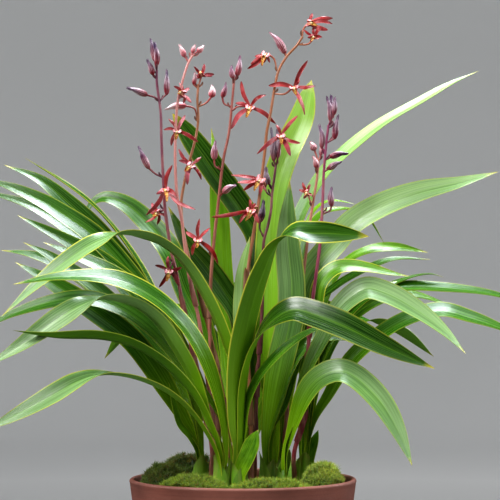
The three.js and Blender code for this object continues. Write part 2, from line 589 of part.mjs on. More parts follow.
function place(name, body, color, roughness) {
  const { vertProperties, triVerts } = body.getMesh();
  const geometry = new THREE.BufferGeometry();
  geometry.setAttribute("position", new THREE.BufferAttribute(new Float32Array(vertProperties), 3));
  geometry.setIndex(new THREE.BufferAttribute(new Uint32Array(triVerts), 1));
  geometry.computeVertexNormals();
  const material = new THREE.MeshStandardMaterial({ color, roughness, metalness: 0 });
  const mesh = new THREE.Mesh(geometry, material);
  mesh.name = name;
  root.add(mesh);
}

const taper = (BASE_RADIUS - RIM_RADIUS) / POT_HEIGHT;
const wallAt = (z) => BASE_RADIUS - taper * z;
const inner = (z) => wallAt(z) - WALL;

// A straight round hole for a foot of the given radius, as wide between its flats as the foot
// and a gap on each side.
function hole(radius, bottom, top, [x, y]) {
  const wide = (radius + GAP) / Math.cos(Math.PI / HOLE_SIDES);
  return turned([[0, bottom], [wide, bottom], [wide, top], [0, top]], HOLE_SIDES).translate([x, y, 0]);
}

function pot() {
  let body = turned(
    [
      [0, 0],
      [BASE_RADIUS - FOOT_CHAMFER, 0],
      [BASE_RADIUS, FOOT_CHAMFER],
      [RIM_RADIUS, POT_HEIGHT - LIP_ROUND],
      [RIM_RADIUS - LIP_ROUND, POT_HEIGHT],
      [RIM_RADIUS - WALL + LIP_ROUND, POT_HEIGHT],
      [inner(POT_HEIGHT), POT_HEIGHT - LIP_ROUND],
      [inner(FLOOR), FLOOR],
      [0, FLOOR],
    ],
    POT_SIDES,
  );
  for (let i = 0; i < DRAIN_HOLES; i++) {
    const angle = (2 * Math.PI * (i + 0.5)) / DRAIN_HOLES;
    const at = [DRAIN_CIRCLE * Math.cos(angle), DRAIN_CIRCLE * Math.sin(angle)];
    body = body.subtract(hole(DRAIN_RADIUS, -1, FLOOR + 1, at));
  }
  return body;
}

function soil() {
  const low = FLOOR + GAP;
  let body = turned(
    [
      [0, low],
      [inner(low) - GAP, low],
      [inner(SOIL_TOP) - GAP, SOIL_TOP],
      [0, SOIL_TOP],
    ],
    POT_SIDES,
  );
  for (const { foot } of SHOOTS)
    body = body.subtract(hole(BULB_RADIUS * 0.8, SOIL_TOP - SHOOT_HOLE_DEPTH, SOIL_TOP + 1, foot));
  for (const { foot } of SPIKES)
    body = body.subtract(hole(SHEATH_RADIUS * 1.1, SOIL_TOP - STEM_HOLE_DEPTH, SOIL_TOP + 1, foot));
  return body;
}

function cushion({ middle, reach, height, turn }) {
  const [around, out] = [13, 3];
  const low = SOIL_TOP + GAP;
  const points = [];
  const triangles = [];
  for (let i = 0; i <= out; i++)
    for (let j = 0; j < around; j++) {
      const angle = (2 * Math.PI * j) / around;
      const uneven = 1 + 0.1 * Math.sin(3 * angle + turn) + 0.06 * Math.sin(5 * angle - turn);
      const share = (i / out) * uneven;
      let x = middle[0] + reach[0] * share * Math.cos(angle);
      let y = middle[1] + reach[1] * share * Math.sin(angle);
      const far = Math.hypot(x, y);
      const limit = inner(SOIL_TOP) * Math.cos(Math.PI / POT_SIDES) - 2 * GAP;
      if (far > limit) [x, y] = [(x * limit) / far, (y * limit) / far];
      const swell = Math.sqrt(Math.max(0, 1 - (i / out) ** 2));
      const bump = 1 + 0.14 * Math.sin(2.3 * angle * out + 1.7 * i + turn) * Math.sin(i);
      points.push(x, y, low + 2 + (height - 2) * swell * bump);
    }
  const rim = out * around;
  for (let j = 0; j < around; j++) {
    const k = 3 * (rim + j);
    points.push(points[k], points[k + 1], low);
  }
  const at = (i, j) => (i === 0 ? 0 : i * around + (j % around));
  for (let i = 0; i < out; i++)
    for (let j = 0; j < around; j++) {
      const [a, b, c, d] = [at(i, j), at(i, j + 1), at(i + 1, j), at(i + 1, j + 1)];
      if (i > 0) triangles.push(a, c, b);
      triangles.push(b, c, d);
    }
  for (let j = 0; j < around; j++) {
    const [a, b] = [at(out, j), at(out, j + 1)];
    triangles.push(a, a + around, b, b, a + around, b + around);
  }
  const floor = rim + around;
  for (let j = 1; j < around - 1; j++) triangles.push(floor, floor + j + 1, floor + j);
  const geometry = new THREE.BufferGeometry();
  geometry.setAttribute("position", new THREE.Float32BufferAttribute(points, 3));
  geometry.setIndex(triangles);
  return solid(geometry.toNonIndexed());
}

// A leaf starts inside the bulb, on the side that it grows out of.
function rootOf([x, y], route) {
  const away = seen(route[1]).sub(new THREE.Vector3(x, y, 0)).setZ(0);
  const start = new THREE.Vector3(x, y, SOIL_TOP + BULB_HEIGHT * 0.4);
  return start.addScaledVector(away.normalize(), BULB_RADIUS * 0.4);
}

function shoot({ foot: [x, y], leaves, seenFrom = [0, -1, 0] }) {
  const low = SOIL_TOP - SHOOT_HOLE_DEPTH + GAP;
  const bulb = turned(
    [
      [0, low],
      [BULB_RADIUS * 0.8, low],
      [BULB_RADIUS * 0.8, SOIL_TOP + 2],
      [BULB_RADIUS, SOIL_TOP + BULB_HEIGHT * 0.35],
      [BULB_RADIUS * 0.62, SOIL_TOP + BULB_HEIGHT * 0.8],
      [0, SOIL_TOP + BULB_HEIGHT],
    ],
    BULB_SIDES,
  ).translate([x, y, 0]);
  const blades = leaves.map(({ width, route, taper }) =>
    blade({
      points: [rootOf([x, y], route), ...route.map(seen)],
      tilts: [route[0][3], ...route.map((point) => point[3])],
      width,
      share: (s) => leafShare(s, taper),
      steps: width > 21 ? LEAF_STEPS : SMALL_LEAF_STEPS,
      from: new THREE.Vector3(...seenFrom),
      edge: LEAF_EDGE,
      rib: LEAF_RIB,
      fold: LEAF_FOLD,
    }),
  );
  return grown([bulb, ...blades]);
}

function openFlower({ stalk, tips, lip }) {
  const points = stalk.map(seen);
  const heart = points.at(-1);
  const pedicel = tube(points, PEDICEL_RADIUS, 3, points.length);
  const ball = new THREE.OctahedronGeometry(HEART_RADIUS).translate(heart.x, heart.y, heart.z);
  const tepals = tips.map(seen).map((tip) => {
    const reach = tip.clone().sub(heart);
    const length = reach.length();
    const from = heart.clone().addScaledVector(reach, 0.6 / length);
    const bow = new THREE.Vector3(0, -0.08 * length, 0);
    const middle = heart.clone().addScaledVector(reach, 0.5).add(bow);
    return blade({
      points: [from, middle, tip],
      tilts: [0, 12, 0],
      width: TEPAL_WIDTH * Math.min(1, 0.55 + length / 50),
      share: tepalShare,
      steps: TEPAL_STEPS,
      from: new THREE.Vector3(0, -1, 0),
      edge: TEPAL_THICKNESS,
      rib: 0,
      fold: 0,
    });
  });
  const lipTip = seen(lip);
  const reach = lipTip.clone().sub(heart);
  const curl = heart.clone().lerp(lipTip, 0.55).add(new THREE.Vector3(0, -2.2, 1.5));
  const tongue = blade({
    points: [heart.clone().addScaledVector(reach.normalize(), 0.6), curl, lipTip],
    tilts: [0, 0, 0],
    width: TEPAL_WIDTH * 1.25,
    share: tepalShare,
    steps: TEPAL_STEPS,
    from: new THREE.Vector3(0, -1, 0),
    edge: TEPAL_THICKNESS * 1.3,
    rib: 0,
    fold: 0,
  });
  return [pedicel, solid(ball), ...tepals, tongue];
}

// A bud and its stalk are one tube that swells past the end of the stalk.
function closedBud({ stalk, tip, size }) {
  const points = [...stalk, tip].map(seen);
  const lengths = points.map((point, i) => (i ? point.distanceTo(points[i - 1]) : 0));
  const whole = lengths.reduce((sum, length) => sum + length);
  const start = 1 - lengths.at(-1) / whole;
  const curve = new THREE.CatmullRomCurve3(points, false, "centripetal");
  const stops = [0, start * 0.5, start, start + (1 - start) * 0.3, start + (1 - start) * 0.62, 1];
  const fat = BUD_RADIUS * size;
  const radii = [PEDICEL_RADIUS, PEDICEL_RADIUS, 1.1, fat, 0.8 * fat, 0.45];
  const places = stops.map((stop) => curve.getUtoTmapping(stop));
  return tubeAt(curve, places, (place) => radii[places.indexOf(place)], 4);
}

function spike({ foot: [x, y], stem, buds, flowers }) {
  const low = SOIL_TOP - STEM_HOLE_DEPTH + GAP;
  const foot = [new THREE.Vector3(x, y, low), new THREE.Vector3(x, y, SOIL_TOP + 4)];
  const points = [...foot, ...stem.map(seen)];
  const { curve, places } = course(points, STEM_STEPS);
  // Papery sheaths wrap the lowest part of the stem.
  const stops = [places[0], curve.getUtoTmapping(SHEATH_LENGTH / curve.getLength()), ...places.slice(1)];
  const bare = (s) => THREE.MathUtils.lerp(STEM_RADIUS, STEM_TOP_RADIUS, s);
  const radius = (s) => (s <= stops[1] ? SHEATH_RADIUS : bare(s));
  const axis = tubeAt(curve, [...new Set(stops)].sort((a, b) => a - b), radius, 5);
  return grown([axis, ...flowers.flatMap(openFlower), ...buds.map(closedBud)]);
}

place("pot", pot(), 0x74483c, 0.85);
place("planting_mix", soil(), 0x2c2018, 0.95);
for (const patch of CUSHIONS) place(patch.name, cushion(patch), 0x5c7a24, 0.95);
for (const one of SHOOTS) place(one.name, shoot(one), 0x2f6b2a, 0.4);
for (const one of SPIKES) place(one.name, spike(one), 0x7a2338, 0.5);

export default root;
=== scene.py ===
"""A potted ink orchid in flower: strap leaves, flower spikes, moss and bark in a clay pot."""

import math

import bpy
import numpy as np
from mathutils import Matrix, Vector


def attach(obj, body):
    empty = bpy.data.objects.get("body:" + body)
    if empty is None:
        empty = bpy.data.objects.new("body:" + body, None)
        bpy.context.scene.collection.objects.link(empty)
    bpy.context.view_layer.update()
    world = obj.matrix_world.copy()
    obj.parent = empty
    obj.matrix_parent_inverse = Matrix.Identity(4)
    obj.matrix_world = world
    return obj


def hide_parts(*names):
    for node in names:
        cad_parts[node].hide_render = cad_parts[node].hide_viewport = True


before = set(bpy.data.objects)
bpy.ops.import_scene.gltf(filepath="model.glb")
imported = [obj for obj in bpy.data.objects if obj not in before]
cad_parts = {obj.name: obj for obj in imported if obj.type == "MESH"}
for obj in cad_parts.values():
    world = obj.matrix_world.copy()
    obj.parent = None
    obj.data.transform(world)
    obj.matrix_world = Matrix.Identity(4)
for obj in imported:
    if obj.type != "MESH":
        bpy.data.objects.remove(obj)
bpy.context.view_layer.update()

MM = 0.001

# The camera stands where the photograph's eye is, and looks up a little.
EYE = np.array([7.0, -1500.0, 347.0])
CAMERA_PITCH = 93.41
CAMERA_LENS = 108.0
TO_VIEWER = np.array([0.0, -1.0, 0.0])
UPWARD = np.array([0.0, 0.0, 1.0])

# Pot, planting mix and plant, in millimetres
POT_HEIGHT = 210.0
RIM_RADIUS = 112.5
BASE_RADIUS = 84.0
WALL = 5.5
FLOOR = 7.0
FOOT_CHAMFER = 2.0
DRAIN_RADIUS = 6.0
DRAIN_CIRCLE = 42.0
SOIL_TOP = 200.0
SOIL_DIP = 1.6
GAP = 0.35
BULB_RADIUS = 7.6
BULB_HEIGHT = 20.0
SHOOT_HOLE_DEPTH = 8.0
STEM_HOLE_DEPTH = 12.0
STEM_RADIUS = 2.3
STEM_TOP_RADIUS = 1.2
LEAF_FOLD = 0.21
BASE_FOLD = 0.3
EDGE_WAVE = 0.5
SHORT_LEAF = 75.0
TEPAL_WIDTH = 6.4
BUD_RADIUS = 2.9
PEDICEL_RADIUS = 0.9

# Fineness
COURSE_STEPS = 600
LEAF_RINGS = 64
LEAF_ACROSS = 13
TEPAL_RINGS = 14
TEPAL_ACROSS = 9
STEM_RINGS = 150
STEM_SIDES = 12
STALK_SIDES = 8
BUD_SIDES = 18
BULB_SIDES = 20
POT_SIDES = 160
MOSS_TUFTS = 2300
TUFT_BLADES = 7
BARK_CHIPS = 420
# How much closer rings crowd where a course bends
LEAF_BEND = 22.0
STEM_BEND = 8.0
TEPAL_BEND = 4.0

# Material slots of the shoots, of the spikes and of the planting mix
BLADE_SLOT, BULB_SLOT, SCALE_SLOT = 0, 1, 2
STEM_SLOT, TEPAL_SLOT, LIP_SLOT, BUD_SLOT = 0, 1, 2, 3
BARK_SLOT = 1

# Colours as 0 to 255 display values
OLD_SCALES = [((104, 150, 18), 34), ((84, 130, 14), 27), ((124, 156, 34), 18), ((116, 94, 46), 11)]
DRY_SHEATHS = [(134, 92, 62), (120, 74, 54)]
BARK_TONES = [(70, 50, 38), (52, 38, 30), (92, 66, 48), (40, 30, 26)]
HOOD_PINK = (238, 206, 208)
BUD_PINK = (236, 214, 218)
LIP_TINTS = ((228, 182, 92), (176, 66, 50))
LOBE_TINTS = ((216, 150, 92), (160, 46, 48))
COLUMN_TINTS = ((176, 74, 84), (222, 176, 150))
CAP_CREAM = (236, 216, 158)
# How pale each of a flower's three sepals and two petals is
PALENESS = (0.0, 0.6, 0.1, 0.85, 0.3)
# The back shoot's leaves are shaped as seen from the side.
SIDE_SHOOT = "shoot_back"

# Round lamps: place and target height in metres, size, power, spread in degrees and colour
LAMPS = {
    "key": ((-1.3, -1.2, 2.0), 0.4, 0.9, 10, 70, (1, 1, 1)),
    "fill": ((1.7, -1.5, 1.2), 0.35, 1.2, 2.0, 70, (1, 1, 1)),
    "top": ((0.2, 0.35, 2.1), 0.4, 0.9, 11, 60, (0.86, 0.94, 1.0)),
    "rim_left": ((-1.5, 0.5, 1.3), 0.4, 0.9, 1.6, 60, (0.88, 0.95, 1.0)),
    "rim_right": ((1.5, 0.5, 1.3), 0.4, 0.9, 4, 60, (0.88, 0.95, 1.0)),
}
AIR_COLOR = (0.95, 0.97, 1.0, 1)
AIR_STRENGTH = 0.5


def leaf(width, tone, *route, edge=0.3, wax=0.0, taper=2.1):
    """A leaf whose tone goes from deep green at 0 to lime at 1, and whose ends may be painted pale: partly a
    waxy bloom, partly a painted sheen.
    """
    looks = {"tone": tone, "edge": edge, "wax": wax}
    return {"width": width, "taper": taper, "looks": looks, "route": np.reshape(route, (-1, 4)).astype(float)}


def points(*numbers):
    return np.reshape(numbers, (-1, 3)).astype(float)


def bud(*numbers, size=1):
    """A bud's stalk from low to high and its tip, and how fat it is."""
    return points(*numbers), size


# Leaf routes go x, y, z, tilt from low on the stalk to the tip. Here and in the spikes x and z
# are as seen in the plane of the pot's axis, and y is the real depth.
SHOOTS = {
  "shoot_front_left": ((-21, -41), [
    leaf(25, 0.42, -19,-43,236,60, -25,-47,286,58, -41,-54,332,56, -62,-59,364,55, -93,-64,391,55,
      -130,-70,407,50, -180,-77,409,55, -230,-84,402,60, edge=0.7),
    leaf(27, 0.38, -23,-44,236,120, -35,-50,262,122, -50,-55,308,124, -68,-58,341,122, -85,-60,364,118,
      -105,-62,379,112, -128,-64,386,105, -143,-66,387,88, -163,-70,380,45, -183,-74,368,28,
      -223,-82,340,25, -256,-88,320,30, wax=0.45),
    leaf(24, 0.46, -24,-46,234,112, -45,-60,284,112, -67,-66,311,112, -89,-70,329,112, -113,-73,342,114,
      -143,-77,349,112, -193,-84,350,108, -230,-90,356,100),
    leaf(25, 0.34, -26,-48,230,100, -38,-60,255,102, -54,-70,276,102, -76,-80,294,100, -105,-90,307,100,
      -133,-96,312,92, -150,-99,310,72, -168,-102,303,48, -188,-106,292,35, -233,-114,268,28,
      -256,-118,257,30, edge=0.5, wax=0.3),
  ]),
  "shoot_middle_left": ((-8, -8), [
    leaf(25, 0.42, -10,-8,240,120, -10,-8,290,122, -11,-9,324,122, -18,-10,346,120, -28,-11,370,118,
      -50,-14,411,114, -66,-18,431,112, -85,-21,444,110, -104,-25,450,108, -124,-29,452,88, -140,-33,447,50,
      -158,-38,438,38, -200,-49,407,35, -241,-60,370,45, edge=0.8, wax=0.4),
    leaf(20, 0.4, -14,-11,244,90, -24,-18,268,80, -34,-22,286,70, -55,-24,312,60, -88,-26,352,50,
      -122,-27,377,45, -160,-28,388,40, -225,-30,374,40, -262,-32,356,40),
  ]),
  # The left and back-left shoots have low tones: their deeper green is partly painted shade, as these leaves
  # stand in shadow behind the others.
  "shoot_left": ((-42, -10), [
    leaf(25, 0.32, -43,-11,236,70, -60,-12,268,45, -76,-12,296,35, -94,-11,324,30, -114,-10,348,28,
      -143,-9,371,28, -193,-8,404,35, -228,-8,424,45),
    leaf(22, 0.26, -43,-8,240,60, -50,-4,290,55, -70,0,343,50, -96,2,383,45, -128,4,411,45, -163,6,429,42,
      -200,8,444,50),
    leaf(20, 0.3, -44,-8,240,60, -50,-2,270,60, -66,4,300,50, -95,10,345,45, -130,15,382,42, -163,19,410,40,
      -195,23,431,40, -220,26,444,50),
    leaf(20, 0.42, -43,-5,240,70, -54,4,265,60, -80,16,315,50, -115,28,362,45, -150,36,398,40,
      -183,40,421,40, -213,43,432,40, -242,46,436,50, edge=0.6),
    leaf(9, 0.7, -46,-14,236,60, -53,-20,250,60, -63,-26,262,60, -69,-30,282,55, -74,-33,304,60),
  ]),
  "shoot_back_left": ((-26, 30), [
    # This leaf's full pale margin is partly its own yellow edge and partly a painted highlight along its lit
    # edge.
    leaf(20, 0.24, -27,31,250,80, -43,33,286,82, -69,35,346,82, -90,38,396,82, -104,40,421,82,
      -130,44,458,82, -153,48,483,82, -183,54,506,80, -219,60,529,80, edge=1.0),
    leaf(24, 0.28, -28,33,260,40, -40,44,290,35, -63,56,336,30, -103,74,401,28, -143,86,451,25,
      -173,93,481,25, -203,98,506,30, -240,104,522,45),
    leaf(24, 0.3, -28,34,250,45, -45,38,292,40, -76,46,356,35, -111,54,408,32, -148,62,449,30,
      -183,70,474,30, -203,74,486,32, -243,82,503,35, -262,86,506,40),
    leaf(20, 0.22, -28,36,245,50, -48,54,286,45, -80,76,345,40, -118,98,398,35, -150,122,438,32,
      -183,136,464,32, -213,146,481,35, -265,157,497,45),
    leaf(22, 0.28, -28,32,245,60, -42,38,276,50, -66,44,331,42, -103,48,391,38, -140,50,424,36,
      -163,51,438,34, -205,53,460,36, -226,54,471,45),
    leaf(26, 0.36, -26,36,250,60, -24,44,290,50, -34,56,330,40, -44,66,366,30, -58,74,396,25, -71,80,430,22,
      -86,92,453,22, -99,100,467,22, -114,106,480,24, -128,110,487,28, -140,113,489,32, -151,115,483,45,
      -163,117,460,62),
  ]),
  "shoot_back_middle": ((0, 36), [
    leaf(24, 0.2, 1,37,256,30, 1,38,316,22, -4,39,370,18, -21,40,398,15, -36,41,419,15, -56,42,443,15,
      -75,42,480,22),
    leaf(28, 0.24, 2,40,256,40, 8,48,300,30, 17,54,350,22, 19,58,406,18, 14,60,451,15, -1,61,476,15,
      -21,62,504,15, -40,63,531,16, -71,65,574,22, taper=7.0),
    leaf(22, 0.85, -3,44,240,40, -11,60,286,30, -17,74,366,20, -21,82,416,15, -25,87,486,14, -29,89,536,20,
      -32,90,559,30),
    leaf(20, 0.7, 2,34,246,50, 2,32,290,40, 0,30,340,35, 0,29,411,28, 7,29,450,30, wax=0.7),
  ]),
  "shoot_front_middle": ((-5, -37), [
    leaf(28, 0.26, -4,-37,240,140, -7,-40,262,142, -5,-44,306,142, 0,-47,342,140, 13,-53,394,136,
      21,-56,416,130, 31,-59,438,110, 42,-61,450,80, 54,-62,454,45, 68,-62,453,30, 85,-62,453,20,
      126,-62,450,25, edge=0.8, taper=3.8),
    leaf(28, 0.16, 0,-36,256,120, 3,-40,306,110, 14,-46,345,90, 31,-54,366,60, 50,-62,376,35, 70,-69,372,22,
      99,-79,361,16, 135,-89,343,17, 172,-98,326,24, 191,-102,318,32),
    leaf(16, 0.55, 2,-35,250,70, 5,-36,281,66, 14,-40,304,62, 25,-44,320,60, 47,-48,342,60, 70,-52,356,62,
      92,-54,362,66),
    leaf(17, 0.66, -2,-42,216,30, 5,-46,232,25, 15,-48,257,25),
  ]),
  "shoot_middle": ((24, -6), [
    leaf(28, 0.45, 25,-5,246,20, 30,-4,286,16, 38,-2,326,12, 47,0,366,10, 49,1,396,10, 45,2,446,10,
      45,2,471,12, 47,2,506,20, wax=0.4),
    leaf(20, 0.5, 25,-6,246,60, 29,-5,266,55, 36,-4,290,50, 44,-3,314,46, 54,-2,333,40, 66,-2,345,32,
      84,-6,350,32, 110,-10,346,38),
    leaf(14, 0.6, 26,-7,250,70, 42,-6,281,64, 50,-4,306,60, 57,-2,326,58, 64,0,342,60),
  ]),
  "shoot_front_right": ((40, -26), [
    leaf(25, 0.42, 43,-28,240,80, 52,-28,266,78, 58,-28,296,75, 68,-29,322,65, 82,-31,350,55, 97,-34,378,42,
      122,-39,397,30, 142,-42,393,28, 172,-47,377,28, 200,-54,356,32, 222,-60,333,42, wax=0.6),
    leaf(25, 0.45, 43,-28,232,60, 47,-32,247,60, 54,-37,271,50, 62,-42,291,42, 73,-48,306,36, 87,-54,314,30,
      99,-59,315,26, 112,-63,309,24, 135,-71,287,22, 153,-79,258,26, 168,-87,222,36, wax=0.45),
  ]),
  "shoot_right": ((64, 2), [
    leaf(26, 0.45, 66,0,240,70, 72,-2,266,66, 87,-5,292,62, 102,-8,317,60, 119,-11,336,58, 157,-16,363,56,
      197,-20,375,56, 227,-24,368,56, 257,-28,358,58, 290,-32,344,62),
    leaf(24, 0.45, 65,4,256,70, 70,8,300,68, 82,14,335,66, 102,20,368,64, 127,26,390,64, 157,31,398,64,
      197,36,398,62, 257,44,390,62, 285,47,380,64),
    leaf(16, 0.5, 64,4,256,70, 67,10,300,70, 80,20,350,70, 110,30,384,70, 142,38,399,70, 172,41,410,70,
      189,42,412,72, 201,43,409,75),
    leaf(20, 0.62, 66,6,256,60, 71,10,320,55, 74,10,370,50, 78,8,402,45, 90,6,416,40, 104,4,420,38,
      125,2,418,38, 147,0,413,45, 166,-2,410,50, edge=0.9),
    leaf(13, 0.7, 66,-4,222,50, 70,-5,240,50, 75,-5,257,50),
  ]),
  "shoot_back_right": ((34, 32), [
    leaf(29, 0.95, 33,33,256,30, 27,34,306,25, 25,35,386,20, 27,36,446,16, 33,38,501,14, 44,40,535,14,
      52,41,552,14, 60,42,571,15, 69,43,608,25, edge=0.6, wax=0.25, taper=7.0),
    leaf(26, 0.7, 38,34,256,70, 42,38,316,65, 46,42,396,62, 51,47,446,60, 58,50,471,60, 79,55,508,60,
      97,59,528,60, 135,66,560,60, 177,73,585,60, 209,79,604,60, 237,83,617,62, wax=0.75),
    leaf(27, 0.55, 40,31,256,40, 46,30,300,35, 53,29,366,30, 66,27,411,25, 81,25,431,20, 92,23,443,18,
      109,20,463,18, 137,16,480,18, 177,10,495,18, 217,5,504,22, 256,0,515,30, wax=0.7),
    leaf(16, 0.7, 44,40,256,60, 50,48,320,60, 54,56,400,60, 62,62,440,60, 70,66,462,60, 82,69,474,62,
      97,71,477,70, 109,72,477,85, 122,73,472,100, 142,75,442,105, edge=1.0),
    leaf(13, 0.75, 42,44,256,70, 48,60,330,65, 52,74,400,62, 60,82,440,60, 68,85,470,62, 78,87,482,64,
      90,88,486,66, 115,90,482,75, edge=0.8),
  ]),
  "shoot_back_far_right": ((60, 36), [
    leaf(20, 0.5, 58,37,256,75, 60,40,300,72, 64,44,350,70, 72,48,382,68, 87,50,394,68, 107,52,408,68,
      147,56,426,68, 187,60,427,70),
    leaf(20, 0.7, 62,39,256,70, 66,50,310,66, 73,60,362,64, 82,66,386,64, 92,69,408,62, 107,72,426,66,
      127,74,436,58, 152,76,439,36, 185,79,434,34),
    leaf(18, 0.62, 66,40,250,60, 76,48,310,55, 94,56,350,50, 117,60,375,48, 140,62,388,46, 167,64,392,46,
      208,66,381,52),
  ]),
  "shoot_back": ((4, 68), [
    leaf(24, 0.35, 4,72,250,95, 2,86,320,92, -4,114,380,90, -14,152,402,85, -24,192,396,80, -36,246,344,75),
    leaf(24, 0.4, 8,72,250,80, 22,92,325,82, 44,124,375,80, 72,160,385,76, 98,190,366,74, 118,212,336,72),
    leaf(24, 0.3, 0,72,250,100, -20,90,320,100, -50,116,366,98, -84,146,378,96, -114,172,360,92,
      -138,192,328,90),
    leaf(22, 0.45, 10,71,250,80, 40,88,310,76, 78,108,350,74, 118,128,366,72, 156,146,356,72,
      190,160,330,72),
  ]),
}

